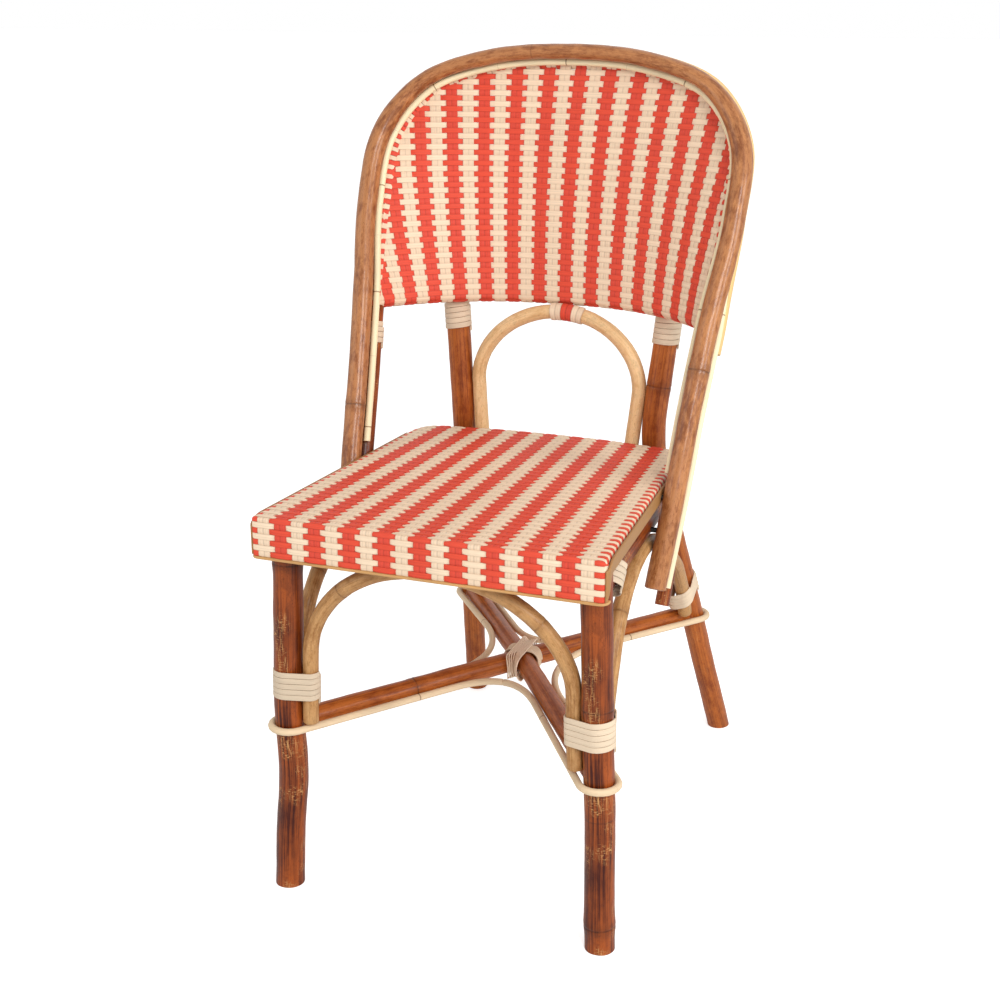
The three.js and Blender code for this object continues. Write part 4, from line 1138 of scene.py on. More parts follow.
class WeaveSizes(bpy.types.PropertyGroup):
    """Sizes of the strands and of the pattern."""

    weft_width: length("Weft width", "Width of a strand from side to side", 0.0062)
    warp_width: length("Warp width", "Width of a strand along the columns", 0.0066)
    strand_thickness: length("Strand thickness", "Thickness of a strand", 0.0013)
    row_pitch: length("Row pitch", "Distance between neighbouring wefts", 0.00625)
    seat_columns: IntProperty(
        name="Seat columns", description="Cream columns across the seat", default=10, min=2)
    back_columns: IntProperty(
        name="Back columns", description="Cream columns across the back", default=14, min=2)


class BindingSizes(bpy.types.PropertyGroup):
    """Sizes of the cane strips that tie the poles."""

    width: length("Strip width", "Width of a strip", 0.0062)
    thickness: length("Strip thickness", "Thickness of a strip", 0.0016)
    space: length("Strip space", "Space between turns", 0.0002)


class StudioSettings(bpy.types.PropertyGroup):
    """The camera and the lamps."""

    place: FloatVectorProperty(
        name="Camera place", description="Where the camera stands", subtype="TRANSLATION",
        unit="LENGTH", default=(0.5888, -1.6422, 0.9671))
    azimuth: FloatProperty(
        name="Azimuth", description="Turn of the camera to its left", subtype="ANGLE",
        default=math.radians(20.72))
    pitch: FloatProperty(
        name="Pitch", description="How far the camera looks down", subtype="ANGLE",
        default=math.radians(18.19))
    lens: number("Lens", "Focal length", 56.316)
    key_power: number("Key lamp", "Power of the lamp in front on the right", 56.0)
    side_power: number("Side lamp", "Power of the lamp on the right", 30.0)
    fill_power: number("Fill lamp", "Power of the weaker lamp on the left", 18.0)
    ambient: number("Ambient", "Light from all round", 0.6)


class CHAIR_OT_legs(bpy.types.Operator):
    """Draws the four legs"""

    bl_idname = "chair.legs"
    bl_label = "Legs"
    bl_options = {"REGISTER", "UNDO"}

    def execute(self, context):
        for side, sign in SIDES.items():
            for end, draw, finish in (
                ("front", front_leg, "dark_pole"), ("rear", rear_leg, "brown_pole"),
            ):
                name = f"{end}_leg_{side}"
                finish_piece(f"pole_{name}", draw(sign), finish, finish, name)
        return {"FINISHED"}


class CHAIR_OT_hoop(bpy.types.Operator):
    """Draws the back's hoop, the frame behind it, the beads between them and the edge band"""

    bl_idname = "chair.hoop"
    bl_label = "Back hoop and frame"
    bl_options = {"REGISTER", "UNDO"}

    def execute(self, context):
        bm = new_shape()
        past = 0.004
        pole(bm, HOOP_COURSE, HOOP, HOOP_RINGS, start=-past, end=HOOP_LENGTH + past, seed=11,
             around=32, wander=0.0004, ends=0.8, flatten=hoop_flatten)
        finish_piece("pole_back_hoop", bm, "hoop_pole", "brown_pole", "back_hoop")
        bm = new_shape()
        stations, distances = beside_hoop(FRAME_LOW, FRAME_HIGH, 0, HOOP_LENGTH, 0.01)
        stations[0].point -= stations[0].along * FRAME_OVERHANG
        stations[-1].point += stations[-1].along * FRAME_OVERHANG
        scales = []
        for station, d in zip(stations, distances):
            from_end = min(d, HOOP_LENGTH - d)
            outward = EAST * math.copysign(FRAME_END_OUT, station.point.x)
            bend = 1 - step_up(from_end, 0, 0.07)
            station.point += bend * (BEHIND * FRAME_END_BACK + outward)
            slim = lerp(FRAME_END_SLIM, 1, step_up(from_end, 0.01, 0.06))
            scales.append((slim, slim))
        verts = sweep(bm, stations, circle_of(BACK_FRAME), 24, scales, distances=distances)
        roughen(bm, verts, 0.0003)
        finish_piece("pole_back_frame", bm, "dark_pole", "brown_pole", "back_frame")
        for label, way, high, start in (
            ("inner_bead", 1, INNER_BEAD_HIGH, HOOP_COURSE.distance_at(SEAT_HEIGHT + HOOP)),
            ("outer_bead", -1, OUTER_BEAD_HIGH, 0.0),
        ):
            bm = new_shape()
            stations, distances = beside_hoop(groove(way), high, start, HOOP_LENGTH - start)
            sweep(bm, stations, circle_of(BEAD), 14, rings=BEAD_JOINTS, distances=distances)
            finish_piece(f"cane_{label}", bm, "pale_cane", "pale_cane", label)
        bm = new_shape()
        outside = WRAP + FIT + 0.0012
        flat = strip_of(outside * EDGE_BAND_WIDTH, EDGE_BAND_THICKNESS, 0.35)

        def band(c, s):
            x, y = flat(c, s)
            angle = EDGE_BAND_MIDDLE + x / outside
            return -math.sin(angle) * (outside + y), -math.cos(angle) * (outside + y)

        start = HOOP_COURSE.distance_at(BACK_RAIL_Z - 0.020)
        stations, distances = beside_hoop(FRAME_LOW, FRAME_HIGH, start, HOOP_LENGTH - start)
        sweep(bm, stations, band, 24, distances=distances)
        finish_piece("cane_back_edge_band", bm, "honey_cane", "honey_cane", "back_edge_band")
        return {"FINISHED"}


# Arches, stretchers, rails and leg canes ----------------------------------------------------------

REAR_SLANT = math.atan2(REAR_FOOT.y - REAR_BEND.y, REAR_BEND.z)
RAIL_INSET = SHEET + 2 * FIT + 0.0016 + SIDE_RAIL
RAIL_FRONT_Y = front_leg_at(1, SIDE_RAIL_Z).y
RAIL_BACK_Y = rear_leg_at(1, SIDE_RAIL_Z).y
RAIL_BACK_Y -= (REAR_LEG + SIDE_RAIL + FIT) / math.cos(REAR_SLANT)


def rail_x(y):
    return half_width_at(y) - RAIL_INSET


def side_rail_course():
    places = ((-1, RAIL_FRONT_Y), (-1, RAIL_BACK_Y), (1, RAIL_BACK_Y), (1, RAIL_FRONT_Y))
    points = [Vector((sign * rail_x(y), y, SIDE_RAIL_Z)) for sign, y in places]
    return Course(bent(points, SEAT_BACK_CORNER))


def seat_frame_course():
    half = seat_outline(SHEET + FIT + SEAT_FRAME, FRAME_CORNER)
    lift = UP * SEAT_FRAME_Z
    right = [point + lift for point in half]
    left = mirrored(right[:-1])
    left[-1].x = -FIT / 2
    right[0].x = FIT / 2
    return Course(right + left)


FRONT_LEFT = front_leg_at(-1, BRACE_FOOT - STRETCHER / 3)
FRONT_RIGHT = front_leg_at(1, BRACE_FOOT - STRETCHER * 3 / 4)
REAR_RIGHT = rear_leg_at(1, BRACE_FOOT - STRETCHER)
REAR_LEFT = rear_leg_at(-1, BRACE_FOOT - 2 * STRETCHER)


def crossing_point():
    r, s, w = REAR_RIGHT - FRONT_LEFT, REAR_LEFT - FRONT_RIGHT, FRONT_RIGHT - FRONT_LEFT
    return FRONT_LEFT.lerp(REAR_RIGHT, (w.x * s.y - w.y * s.x) / (r.x * s.y - r.y * s.x))


CROSSING = crossing_point()


def arch(foot, spring, top, lift_share, reach_share):
    """An arch from the left foot over its top to the right foot, which is given."""
    lift = UP * (top.z - spring.z) * lift_share
    reach = EAST * spring.x * reach_share
    right = [*cubic(top, top + reach, spring + lift, spring), foot]
    return Course(mirrored(right[1:]) + right)


def front_arch_course():
    inside = EAST * -(FRONT_LEG + FIT + ARCH)
    rest = math.radians(45)
    reach = FRONT_RAIL + FIT + ARCH
    top = Vector((0, FRONT_RAIL_Y + reach * math.cos(rest), FRONT_RAIL_Z - reach * math.sin(rest)))
    spring = front_leg_at(1, lerp(BRACE_FOOT, top.z, 0.41)) + inside
    return arch(front_leg_at(1, BRACE_FOOT) + inside, spring, top, 0.4, 0.66)


# Angle at which the back's arch rests on the rolled sheet
ARCH_REST = math.radians(31)


def back_arch_course():
    inside = EAST * -(REAR_LEG + FIT + ARCH)
    reach = BACK_RAIL + FIT + SHEET + FIT + ARCH
    y = back_rail_at(0)[0].y - reach * math.sin(ARCH_REST)
    top = Vector((0, y, BACK_RAIL_Z - reach * math.cos(ARCH_REST)))
    spring = upper_leg_at(1, lerp(SEAT_HEIGHT, top.z, 0.4)) + inside
    return arch(upper_leg_at(1, SIDE_RAIL_Z + 0.005) + inside, spring, top, 0.552, 0.552)


FRONT_BINDING_Z = BRACE_FOOT + 0.044
REAR_BINDING_Z = BRACE_FOOT + 0.036
SIDE_ARCH_TOP_Z = SIDE_RAIL_Z - SIDE_RAIL - FIT - ARCH
SIDE_ARCH_RUNS = (0.041, 0.115, 0.236, 0.38, 0.512, 0.644, 0.752, 0.832, 0.887, 0.95)
SIDE_ARCH_RISES = (0.587, 0.82, 0.964, 1, 0.931, 0.781, 0.62, 0.493, 0.366, 0.2)


def side_arch_course(sign):
    out = BEHIND * (FRONT_LEG + FIT + ARCH)
    foot = front_leg_at(sign, BRACE_FOOT) + out
    end = rear_leg_at(sign, BRACE_FOOT) - BEHIND * (REAR_LEG + FIT + ARCH) / math.cos(REAR_SLANT)
    over = [
        Vector((*foot.xy.lerp(end.xy, run), lerp(BRACE_FOOT, SIDE_ARCH_TOP_Z, rise)))
        for run, rise in zip(SIDE_ARCH_RUNS, SIDE_ARCH_RISES)
    ]
    return Course(through([foot, front_leg_at(sign, FRONT_BINDING_Z) + out, *over, end]))


LEG_RING = (
    ("front_left", FRONT_LEFT, front_leg_at, -1, FRONT_LEG),
    ("front_right", FRONT_RIGHT, front_leg_at, 1, FRONT_LEG),
    ("rear_right", REAR_RIGHT, rear_leg_at, 1, REAR_LEG),
    ("rear_left", REAR_LEFT, rear_leg_at, -1, REAR_LEG),
)
CANE_BELOW = 0.003
FILLETS = (0.09, 0.1)
HALF_RING = math.radians(96)


def flat_way(end):
    return Vector((end.x - CROSSING.x, end.y - CROSSING.y, 0)).normalized()


def half_fillet(end, neighbour, reach):
    """Half of the bend between a leg's cane and the next, from where they meet to the stretcher."""
    own, other = flat_way(end), flat_way(neighbour)
    middle = (own + other).normalized()
    corner = CROSSING + middle * (STRETCHER + FIT + LEG_CANE) / middle.cross(own).length
    corner.z = CROSSING.z - CANE_BELOW
    enter = corner + own * reach
    meet = (enter + corner + other * reach + corner * 2) / 4
    return quadratic(meet, (corner + enter) / 2, enter)


def leg_cane_course(i):
    _, end, leg_at, sign, radius = LEG_RING[i]
    centre = leg_at(sign, end.z - CANE_BELOW)
    axis = (leg_at(sign, SEAT_HEIGHT) - leg_at(sign, 0)).normalized()
    out = flat_way(end)
    reach = radius + FIT + LEG_CANE
    ring = []
    for step in range(25):
        way = Matrix.Rotation(lerp(-HALF_RING, HALF_RING, step / 24), 3, "Z") @ out
        ring.append(centre + way * reach / math.sqrt(1 - way.dot(axis) ** 2))
    enter = half_fillet(end, LEG_RING[(i + 3) % 4][1], FILLETS[(i + 1) % 2])
    leave = half_fillet(end, LEG_RING[(i + 1) % 4][1], FILLETS[i % 2])
    return Course([*enter, *ring, *reversed(leave)])


# Bindings ----------------------------------------------------------------------------------------


def winding_point(circles, angle, clearance, thickness):
    way = (math.cos(angle), math.sin(angle))
    x, y, radius = max(circles, key=lambda c: c[0] * way[0] + c[1] * way[1] + c[2])
    out = radius + clearance + thickness / 2
    return x + out * way[0], y + out * way[1], way


def winding(bm, centre, axis, side, turns, circles_at, width, thickness, pitch, rng, clearance,
            gather):
    """A flat strip wound round everything that it ties, its turns gathered towards its sides."""
    steps = 36
    first = (side - axis * side.dot(axis)).normalized()
    second = axis.cross(first)
    stations = []
    for i in range(turns * steps + 1):
        rise = (i / steps - turns / 2) * pitch + 0.00015 * math.sin(i * 0.37)
        rise *= 1 - gather * math.cos(2 * math.pi * i / steps) ** 2
        circles = circles_at(rise, lambda offset: (offset.dot(first), offset.dot(second)))
        x, y, way = winding_point(circles, 2 * math.pi * i / steps, clearance, thickness)
        station = Station(centre + first * x + second * y + axis * rise, axis, first)
        station.across = axis
        station.beside = first * way[0] + second * way[1]
        stations.append(station)
    sweep(bm, stations, strip_of(width, thickness, 0.55), 12, shade=rng.random())


def passing(points, centre, axis, rise):
    """Where a row of points passes this height along the axis of a winding."""
    heights = [(point - centre).dot(axis) - rise for point in points]
    for i in range(1, len(points)):
        if heights[i] * heights[i - 1] <= 0:
            share = heights[i - 1] / (heights[i - 1] - heights[i])
            return points[i - 1].lerp(points[i], clamp(share, 0, 1)) - centre
    return points[1] - centre


class CHAIR_OT_stretchers(bpy.types.Operator):
    """Draws the crossed stretchers and the canes that run along them round the legs"""

    bl_idname = "chair.stretchers"
    bl_label = "Stretchers and leg canes"
    bl_options = {"REGISTER", "UNDO"}

    def execute(self, context):
        clear = FIT * 2
        parts = (
            ("through", FRONT_LEFT, REAR_RIGHT, FRONT_LEG, REAR_LEG, (0.27,)),
            ("front_half", FRONT_RIGHT, CROSSING, FRONT_LEG, STRETCHER, ()),
            ("rear_half", REAR_LEFT, CROSSING, REAR_LEG, STRETCHER, ()),
        )
        for name, start, end, before, after, rings in parts:
            course = Course([start, end])
            bm = new_shape()
            marks = [course.length * share for share in rings]
            last = course.length - after * 0.8 - clear
            pole(bm, course, STRETCHER, marks, UP, before * 0.7, last, seed=len(name),
                 wander=0.0002)
            finish_piece(f"pole_stretcher_{name}", bm, "brown_pole", "brown_pole",
                         f"stretcher_{name}")
        for i, (name, *_) in enumerate(LEG_RING):
            course = leg_cane_course(i)
            bm = new_shape()
            cane(bm, course, LEG_CANE, (0.09 + 0.02 * i, course.length - 0.11), UP, FIT / 2,
                 course.length - FIT / 2, seed=i)
            finish_piece(f"cane_leg_{name}", bm, "peeled_cane", "pale_cane", f"leg_cane_{name}")
        return {"FINISHED"}


class CHAIR_OT_arches(bpy.types.Operator):
    """Draws the arches under the seat and behind it"""

    bl_idname = "chair.arches"
    bl_label = "Arches"
    bl_options = {"REGISTER", "UNDO"}

    def execute(self, context):
        arches = [("front_arch", front_arch_course(), (0.305, 0.715), BEHIND),
                  ("back_arch", back_arch_course(), (), BEHIND)]
        arches += [(f"side_arch_{name}", side_arch_course(sign), (0.26,), EAST)
                   for name, sign in SIDES.items()]
        for name, course, shares, reference in arches:
            bm = new_shape()
            pole(bm, course, ARCH, [course.length * s for s in shares], reference, seed=len(name),
                 around=22, wander=0.0002)
            finish = "light_pole" if name.startswith("back") else "tan_pole"
            finish_piece(f"pole_{name}", bm, finish, "tan_pole", name)
        return {"FINISHED"}


class CHAIR_OT_rails(bpy.types.Operator):
    """Draws the rails round the seat and the bottom rail of the back"""

    bl_idname = "chair.rails"
    bl_label = "Rails"
    bl_options = {"REGISTER", "UNDO"}

    def execute(self, context):
        half = SEAT_FRONT_WIDTH / 2 - SHEET - FIT - SEAT_FRONT_CORNER
        front = Course([Vector((x, FRONT_RAIL_Y, FRONT_RAIL_Z)) for x in (-half, half)])
        reach = [i / 40 * 2 - 1 for i in range(41)]
        back = Course([back_rail_at(0.985 * math.sin(math.pi / 2 * s))[0] for s in reach])
        parts = (
            ("front_rail", front, FRONT_RAIL, (0.12,), BEHIND, 0.0, "brown_pole"),
            ("seat_frame", seat_frame_course(), SEAT_FRAME, (0.3, 0.9), UP, 0.0, "brown_pole"),
            ("side_rail", side_rail_course(), SIDE_RAIL, (0.25, 0.7), UP, FRONT_LEG * 0.7,
             "dark_pole"),
            ("back_bottom_rail", back, BACK_RAIL, (0.1,), UP, BACK_FRAME, "brown_pole"),
        )
        for name, course, radius, rings, reference, inset, slot in parts:
            bm = new_shape()
            pole(bm, course, radius, rings, reference, inset, course.length - inset, seed=len(name),
                 around=20, wander=0)
            finish_piece(f"pole_{name}", bm, slot, slot, name)
        return {"FINISHED"}


def band_bottom(y):
    """Height of the lower edge of the side band: it drops to the front cane at the corner."""
    return SEAT_BOTTOM + 0.0005 + 0.0255 * (1 - math.exp(-((max(0.0, y - 0.0035) / 0.0075) ** 2)))


def side_band(sign):
    """The flat cane nailed along a side of the seat: it turns down round the front corner."""
    bm = new_shape()
    course = bm.verts.layers.float_vector["course"]
    corner = SEAT_FRONT_CORNER
    turn = math.radians(38)
    turn_length = corner * turn
    drop_end = turn_length + 0.03
    stops = [turn_length * i / 8 for i in range(8)]
    stops += [lerp(turn_length, drop_end, i / 12) for i in range(12)]
    stops += [lerp(drop_end, turn_length + CORNER_Y - corner, i / 40) for i in range(41)]
    steps = len(stops) - 1
    grid = bmesh.ops.create_grid(bm, x_segments=steps, y_segments=4, size=0.5)["verts"]
    for vert in grid:
        along = stops[round((vert.co.x + 0.5) * steps)]
        share = vert.co.y + 0.5
        if along < turn_length:
            angle = turn - along / corner
            y = corner - (corner - FIT) * math.sin(angle)
            x = half_width_at(corner) + FIT - (corner + FIT) * (1 - math.cos(angle))
        else:
            y = corner + along - turn_length
            x = half_width_at(y) + FIT
        top = SEAT_HEIGHT - 0.0035 - 0.009 * math.exp(-((y / 0.012) ** 2))
        vert.co = Vector((sign * x, y, lerp(band_bottom(y), top, share)))
        vert[course] = (share * 0.016, 0, along)
    bmesh.ops.recalc_face_normals(bm, faces=bm.faces)
    if sum(face.normal.x for face in bm.faces) * sign > 0:
        bmesh.ops.reverse_faces(bm, faces=bm.faces)
    bmesh.ops.solidify(bm, geom=bm.faces[:], thickness=0.0024)
    bm.normal_update()
    rims = [edge for edge in bm.edges if len(edge.link_faces) == 2 and edge.calc_face_angle() > 1]
    bmesh.ops.bevel(bm, geom=rims, offset=0.0006, offset_type="OFFSET", affect="EDGES", segments=2,
                    profile=0.5, material=-1, clamp_overlap=True)
    return bm


class CHAIR_OT_seat(bpy.types.Operator):
    """Weaves the seat and draws the flat canes nailed round it"""

    bl_idname = "chair.seat"
    bl_label = "Woven seat"
    bl_options = {"REGISTER", "UNDO"}

    def execute(self, context):
        sizes = context.scene.chair_weave
        rows = math.ceil((FACE + FACE_TURN + SEAT_DEPTH) / sizes.row_pitch)
        columns = sizes.seat_columns

        def pitch_at(run):
            y = max(run - RUN_AHEAD, 0)
            return 2 * half_width_at(y) / columns * lerp(1.012, 1, y / SEAT_DEPTH)

        def reach(run):
            y = run - RUN_AHEAD
            limit = half_width_at(max(y, 0)) - SEAT_EDGE_ROUND + FACE_TURN + 0.007
            if y < CORNER_Y - 0.01:
                return limit
            return last_held(0.0, limit, lambda x: nearest_rear(x, y)[0] < FACE_TURN + 0.009)

        wefts = new_shape()
        weave_wefts(wefts, [(i, (i + 0.5) * sizes.row_pitch) for i in range(rows)], reach,
                    lambda across, run: (across + SEAT_SHIFT) / pitch_at(run), seat_place, sizes, 5,
                    columns, columns / 2 - 0.27)
        finish_piece("weave_seat_across", wefts, BOTH_STRANDS, "weave", "woven_seat")
        offset = sizes.warp_width / 2
        pairs = [(i, (-offset, offset)) for i in range(1 - columns, columns)]

        def span(index, place):
            share = abs(index / columns)
            x = share * half_width_at(SEAT_DEPTH)
            y = last_held(
                SEAT_DEPTH * 0.8, SEAT_DEPTH + 0.02,
                lambda y: nearest_rear(min(x, half_width_at(y) * share), y)[0] < FACE_TURN + 0.01)
            return 0.0, y + RUN_AHEAD

        warps = new_shape()
        weave_warps(warps, pairs, span, lambda column, run: column * pitch_at(run) - SEAT_SHIFT,
                    seat_place, sizes, 6, lambda across, run: 1)
        finish_piece("weave_seat_along", warps, BOTH_STRANDS, "weave")
        for name, sign in SIDES.items():
            finish_piece(f"cane_seat_side_band_{name}", side_band(sign), "honey_cane", "honey_cane",
                         f"seat_side_band_{name}")
        bm = new_shape()
        thickness, depth = 0.003, 0.009
        half = SEAT_FRONT_WIDTH / 2 - thickness
        z = SEAT_BOTTOM - FIT - thickness / 2
        places = ((-half, 0.013), (-half, depth / 2), (half, depth / 2), (half, 0.013))
        course = Course(bent([Vector((x, y, z)) for x, y in places], 0.006))
        near = [0, 0.0008, *spaced(0.002, 0.02, 0.0015)]
        distances = sorted([*near, *spaced(0.03, course.length - 0.03, 0.02),
                            *(course.length - distance for distance in near)])
        sweep(bm, stations_on(course, distances), strip_of(thickness, depth, 0.4), 16,
              distances=distances)
        finish_piece("cane_seat_front", bm, "tan_cane", "honey_cane", "seat_front_cane")
        return {"FINISHED"}


class CHAIR_OT_back(bpy.types.Operator):
    """Weaves the back, with its roll round the bottom rail and its wrap round the frame"""

    bl_idname = "chair.back"
    bl_label = "Woven back"
    bl_options = {"REGISTER", "UNDO"}

    def execute(self, context):
        sizes = context.scene.chair_weave
        row = sizes.row_pitch
        below = RAIL_REACH * ROLL
        top = SHEET_TOP.z - BACK_RAIL_Z

        def reach(run):
            if run < 0:
                return BACK_HALF - 0.004
            z = BACK_RAIL_Z + run
            if z < WIDEST.z:
                return BACK_HALF
            limit = edge_at(z).x + 0.001
            return last_held(0.0, BACK_HALF, lambda across: column_x(share_of(across), z) < limit)

        first = -math.floor(below / row)
        last = math.floor(top / row)
        wefts = new_shape()
        weave_wefts(wefts, [(i, (i + 0.5) * row) for i in range(first, last)], reach,
                    back_column_of, back_place, sizes, 7, sizes.back_columns + 1)
        finish_piece("weave_back_across", wefts, BOTH_STRANDS, "weave", "woven_back")

        def inside(index, place, run):
            across = back_column_at(index / 2, run) + place
            z = BACK_RAIL_Z + run
            if abs(across) > BACK_HALF - 0.001:
                return False
            return z < WIDEST.z or abs(column_x(share_of(across), z)) < edge_at(z).x

        def span(index, place):
            runs = [i / 200 * top for i in range(-8, 201)]
            held = [run for run in runs if inside(index, place, run)]
            low = -below if held[0] <= 0 else held[0]
            return low, held[-1] + 0.001

        offset = sizes.warp_width / 2
        pairs = []
        for index in range(-16, 17):
            places = [p for p in (-offset, offset)
                      if any(inside(index, p, i / 20 * top) for i in range(21))]
            if places:
                pairs.append((index, places))
        warps = new_shape()
        weave_warps(warps, pairs, span, back_column_at, back_place, sizes, 8, back_stretch)
        finish_piece("weave_back_along", warps, BOTH_STRANDS, "weave")

        wrap = new_shape()
        rng = Random(9)
        start, end = CORNER, HOOP_LENGTH - CORNER
        count = round((end - start) / row)
        half = (end - start) / count * 0.46
        for i in range(count):
            middle = lerp(start, end, (i + 0.5) / count)
            z = HOOP_COURSE.at(middle).z
            colour = i % 2 if z < WIDEST.z + 0.05 else (i // 2) % 2

            def place(step, side, depth, middle=middle):
                d = middle + side * half
                angle = math.radians(lerp(-50, 175, step / 20))
                radius = WRAP - 0.0004 + crowned(side) - depth
                station = on_hoop(d, FRAME_LOW, FRAME_HIGH)
                return station.moved(-radius * math.sin(angle), -radius * math.cos(angle)).point

            strand(wrap, 20, place, rng.random(), colour, sizes.weft_width,
                   lambda step: step * 0.003)
        finish_piece("weave_back_wrap", wrap, BOTH_STRANDS, "weave")

        tab = new_shape()
        course = back_arch_course()
        down = -BEHIND * math.sin(ARCH_REST) - UP * math.cos(ARCH_REST)
        middle = course.length / 2 + 0.009
        for i in range(6):
            colour = RED if i in (2, 3) else CREAM
            centre = middle + (i - 2.5) * sizes.warp_width * 1.03

            def place(step, side, depth, centre=centre):
                d = centre + side * sizes.warp_width / 2
                angle = math.radians(lerp(-150, 150, step / 28))
                station = Station(course.at(d), course.way(d), BEHIND)
                out = (down - station.along * down.dot(station.along)).normalized()
                side_way = station.along.cross(out)
                radius = ARCH + 0.0018 + crowned(side) - depth
                return station.point + (out * math.cos(angle) + side_way * math.sin(angle)) * radius

            strand(tab, 28, place, rng.random(), colour, sizes.warp_width,
                   lambda step: step * 0.002)
        finish_piece("weave_arch_tab", tab, BOTH_STRANDS, "weave", "arch_tab")
        return {"FINISHED"}


class CHAIR_OT_bindings(bpy.types.Operator):
    """Winds the cane bindings round the joints"""

    bl_idname = "chair.bindings"
    bl_label = "Bindings"
    bl_options = {"REGISTER", "UNDO"}

    def execute(self, context):
        sizes = context.scene.chair_bindings
        pitch = sizes.width + sizes.space
        rng = Random(21)

        def tie(name, centre, axis, side, turns, circles, clearance=FIT, gather=0.0, fine=1,
                finish="binding_cane"):
            bm = new_shape()
            width = (pitch / fine - sizes.space) * (1 - 0.4 * gather)
            winding(bm, centre, axis, side, turns * fine, circles, width, sizes.thickness,
                    pitch / fine, rng, clearance, gather)
            finish_piece(f"binding_{name}", bm, finish, "cream_cane", name)

        long, short = 5, 4
        lashing_y = RAIL_FRONT_Y + FRONT_LEG + 0.014
        frame_z = BACK_BOTTOM - (short * pitch + sizes.width) / 2 - 0.003
        frame_binding = HOOP_COURSE.distance_at(frame_z)
        for name, sign in SIDES.items():
            points = side_arch_course(sign).points

            def edges(row, centre, axis, rise, seen):
                rises = (rise - sizes.width / 2, rise + sizes.width / 2)
                return [(*seen(passing(row, centre, axis, r)), ARCH) for r in rises]

            axis = (front_leg_at(sign, FRONT_TOP.z) - front_leg_at(sign, 0)).normalized()
            centre = front_leg_at(sign, FRONT_BINDING_Z)
            beside = (-sign * (FRONT_LEG + FIT + ARCH), 0, ARCH)
            tie(f"front_binding_{name}", centre, axis, EAST, long,
                lambda rise, seen, c=centre, a=axis, p=points, b=beside:
                [(0, 0, FRONT_LEG), b, *edges(p, c, a, rise, seen)], 2 * FIT)
            leg = [rear_leg_at(sign, 0), rear_leg_at(sign, REAR_BEND.z)]
            axis = ((leg[1] - leg[0]).normalized() - EAST * sign * 0.3).normalized()
            centre = rear_leg_at(sign, REAR_BINDING_Z)
            tie(f"rear_binding_{name}", centre, axis, EAST, short,
                lambda rise, seen, c=centre, a=axis, p=points[::-1], g=leg:
                [(*seen(passing(g, c, a, rise)), REAR_LEG * 1.05), *edges(p, c, a, rise, seen),
                 *[(x - sign * 0.009, y, r) for x, y, r in edges(p, c, a, rise, seen)]], 3 * FIT)
            axis = (upper_leg_at(sign, REAR_TOP.z) - upper_leg_at(sign, REAR_BEND.z)).normalized()
            centre = upper_leg_at(sign, REAR_TOP.z - (long * pitch + sizes.width) / 2 - FIT)
            tie(f"leg_top_binding_{name}", centre, axis, EAST, long,
                lambda rise, seen: [(0, 0, REAR_LEG)])
            d = HOOP_LENGTH - frame_binding if sign > 0 else frame_binding
            station = on_hoop(d, FRAME_LOW, FRAME_HIGH)
            tie(f"back_frame_binding_{name}", station.point, station.along, station.across, short,
                lambda rise, seen: [(0, 0, BACK_FRAME)])
            centre = Vector((sign * rail_x(lashing_y), lashing_y, SIDE_RAIL_Z + 0.002))
            tie(f"rail_binding_{name}", centre, (BEHIND + UP).normalized(), EAST, short,
                lambda rise, seen: [(0, 0, SIDE_RAIL * 1.45)], 2 * FIT)
        spread = REAR_RIGHT - FRONT_LEFT

        def two_poles(lean):
            def circles(rise, seen):
                apart = (abs(rise) + sizes.width / 2) * lean + STRETCHER * (math.hypot(1, lean) - 1)
                return [(-apart, 0, STRETCHER), (apart, 0, STRETCHER)]

            return circles

        lean = abs(spread.x / spread.y)
        inner = 4 * FIT
        for name, axis, side, lean, clearance in (
            ("inner", BEHIND, EAST, lean, inner),
            ("outer", EAST, BEHIND, 1 / lean, inner + sizes.thickness),
        ):
            # The crossing's cane is painted paler than the other bindings, as painted light in the
            # shade under the seat.
            tie(f"crossing_binding_{name}", CROSSING, axis, side, 3, two_poles(lean), clearance,
                gather=0.4, fine=3, finish="crossing_cane")
        return {"FINISHED"}


class CHAIR_OT_bolts(bpy.types.Operator):
    """Gives the bolts their steel"""

    bl_idname = "chair.bolts"
    bl_label = "Bolts"
    bl_options = {"REGISTER", "UNDO"}

    def execute(self, context):
        for name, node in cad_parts.items():
            if name.startswith("hoop_bolt"):
                node.data.materials.clear()
                node.data.materials.append(finish_of("bolt_steel"))
        return {"FINISHED"}


# Studio ------------------------------------------------------------------------------------------


def lamp(name, power, size, place, target):
    """A soft round lamp turned to its target."""
    data = bpy.data.lights.new(name, "AREA")
    data.energy = power
    data.shape = "DISK"
    data.size = size
    light = bpy.data.objects.new(name, data)
    light.location = place
    light.rotation_euler = (target - place).to_track_quat("-Z", "Y").to_euler()
    bpy.context.scene.collection.objects.link(light)


def floor_finish():
    """Pale floor: it takes the shadow, and the camera sees it lifted towards white."""
    f = Finish("studio_floor")
    f.set(Base_Color=(*darker(WHITE, 0.88), 1), Roughness=0.7, Specular_IOR_Level=0.1)
    camera = f.add("ShaderNodeLightPath", output="Is Camera Ray")
    f.set(Emission_Color=f.mix(camera, darker(WHITE, 0), darker(WHITE, 0.56)))
    f.set(Emission_Strength=1.0)
    return f.material


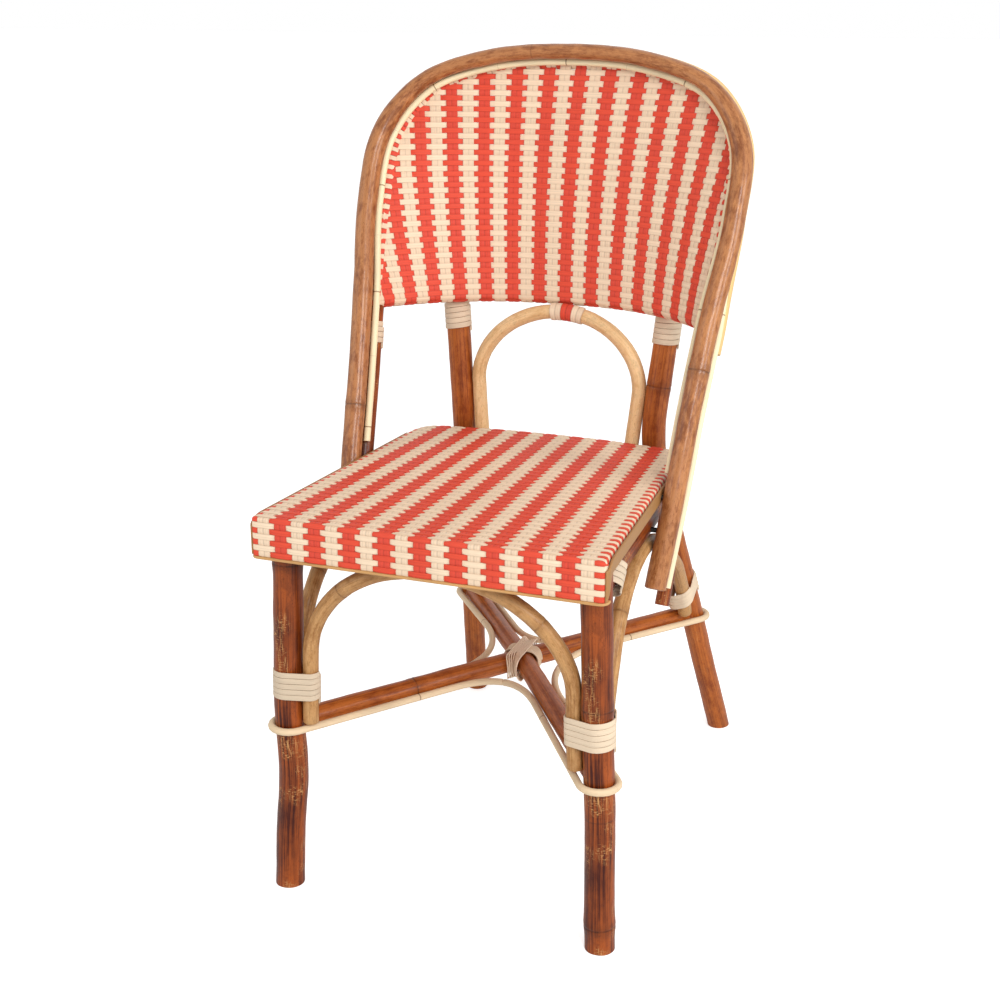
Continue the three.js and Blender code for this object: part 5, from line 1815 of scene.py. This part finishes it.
def studio_world(scene, strength):
    """Even light from all round, behind a white backdrop."""
    world = bpy.data.worlds.new("studio")
    world.use_nodes = True
    tree = world.node_tree
    scene.world = world
    background = tree.nodes["Background"]
    background.inputs["Color"].default_value = (1, 1, 1, 1)
    path = tree.nodes.new("ShaderNodeLightPath")
    seen = Value(tree, path.outputs["Is Camera Ray"]) + Value(tree, path.outputs["Is Glossy Ray"])
    seen = seen + Value(tree, path.outputs["Is Transmission Ray"])
    seen = 1 - (1 - seen)._math("MAXIMUM", 1 - seen, 0.0)
    tree.links.new((seen * (1 - strength) + strength).socket, background.inputs["Strength"])


class CHAIR_OT_stage(bpy.types.Operator):
    """Sets up the floor, the lamps and the camera"""

    bl_idname = "chair.stage"
    bl_label = "Stage"
    bl_options = {"REGISTER", "UNDO"}

    def execute(self, context):
        scene = context.scene
        studio = scene.chair_studio
        bm = bmesh.new()
        bmesh.ops.create_grid(bm, x_segments=1, y_segments=1, size=30)
        mesh = bpy.data.meshes.new("studio_floor")
        bm.to_mesh(mesh)
        bm.free()
        mesh.materials.append(floor_finish())
        floor = bpy.data.objects.new("studio_floor", mesh)
        floor.location.z = -0.0005
        scene.collection.objects.link(floor)
        middle = Vector((0, 0, 0.45))
        lamp("key_lamp", studio.key_power, 1.3, Vector((1.9, -2.5, 2.3)), middle)
        lamp("side_lamp", studio.side_power, 1.2, Vector((2.8, -0.7, 1.5)), middle)
        lamp("fill_lamp", studio.fill_power, 2.4, Vector((-2.4, -2.1, 1.5)), middle)
        studio_world(scene, studio.ambient)
        camera = bpy.data.objects.new("camera", bpy.data.cameras.new("camera"))
        camera.data.lens = studio.lens
        camera.data.clip_start = 0.05
        a, e = studio.azimuth, studio.pitch
        forward = Vector((-math.sin(a) * math.cos(e), math.cos(a) * math.cos(e), -math.sin(e)))
        right = Vector((math.cos(a), math.sin(a), 0))
        up = right.cross(forward)
        turn = Matrix((right, up, -forward)).transposed().to_4x4()
        camera.matrix_world = Matrix.Translation(studio.place) @ turn
        scene.collection.objects.link(camera)
        scene.camera = camera
        scene.view_settings.view_transform = "Standard"
        return {"FINISHED"}


OPERATORS = (
    CHAIR_OT_legs,
    CHAIR_OT_hoop,
    CHAIR_OT_stretchers,
    CHAIR_OT_arches,
    CHAIR_OT_rails,
    CHAIR_OT_seat,
    CHAIR_OT_back,
    CHAIR_OT_bindings,
    CHAIR_OT_bolts,
    CHAIR_OT_stage,
)


class CHAIR_PT_panel(bpy.types.Panel):
    """The chair's operators and sizes"""

    bl_label = "Rattan bistro chair"
    bl_idname = "CHAIR_PT_panel"
    bl_space_type = "VIEW_3D"
    bl_region_type = "UI"
    bl_category = "Chair"

    def draw(self, context):
        for operator in OPERATORS:
            self.layout.operator(operator.bl_idname)
        for group in SETTINGS:
            box = self.layout.box()
            values = getattr(context.scene, group)
            for name in values.__annotations__:
                box.prop(values, name)


SETTINGS = {
    "chair_colours": ChairColours,
    "chair_weave": WeaveSizes,
    "chair_bindings": BindingSizes,
    "chair_studio": StudioSettings,
}


def register():
    for item in (*SETTINGS.values(), *OPERATORS, CHAIR_PT_panel):
        bpy.utils.register_class(item)
    for name, group in SETTINGS.items():
        setattr(bpy.types.Scene, name, PointerProperty(type=group))


def unregister():
    for name in SETTINGS:
        delattr(bpy.types.Scene, name)
    for item in (CHAIR_PT_panel, *reversed(OPERATORS), *reversed(SETTINGS.values())):
        bpy.utils.unregister_class(item)


def main():
    register()
    for operator in OPERATORS:
        getattr(bpy.ops.chair, operator.bl_idname.split(".")[1])()


if __name__ == "__main__":
    main()
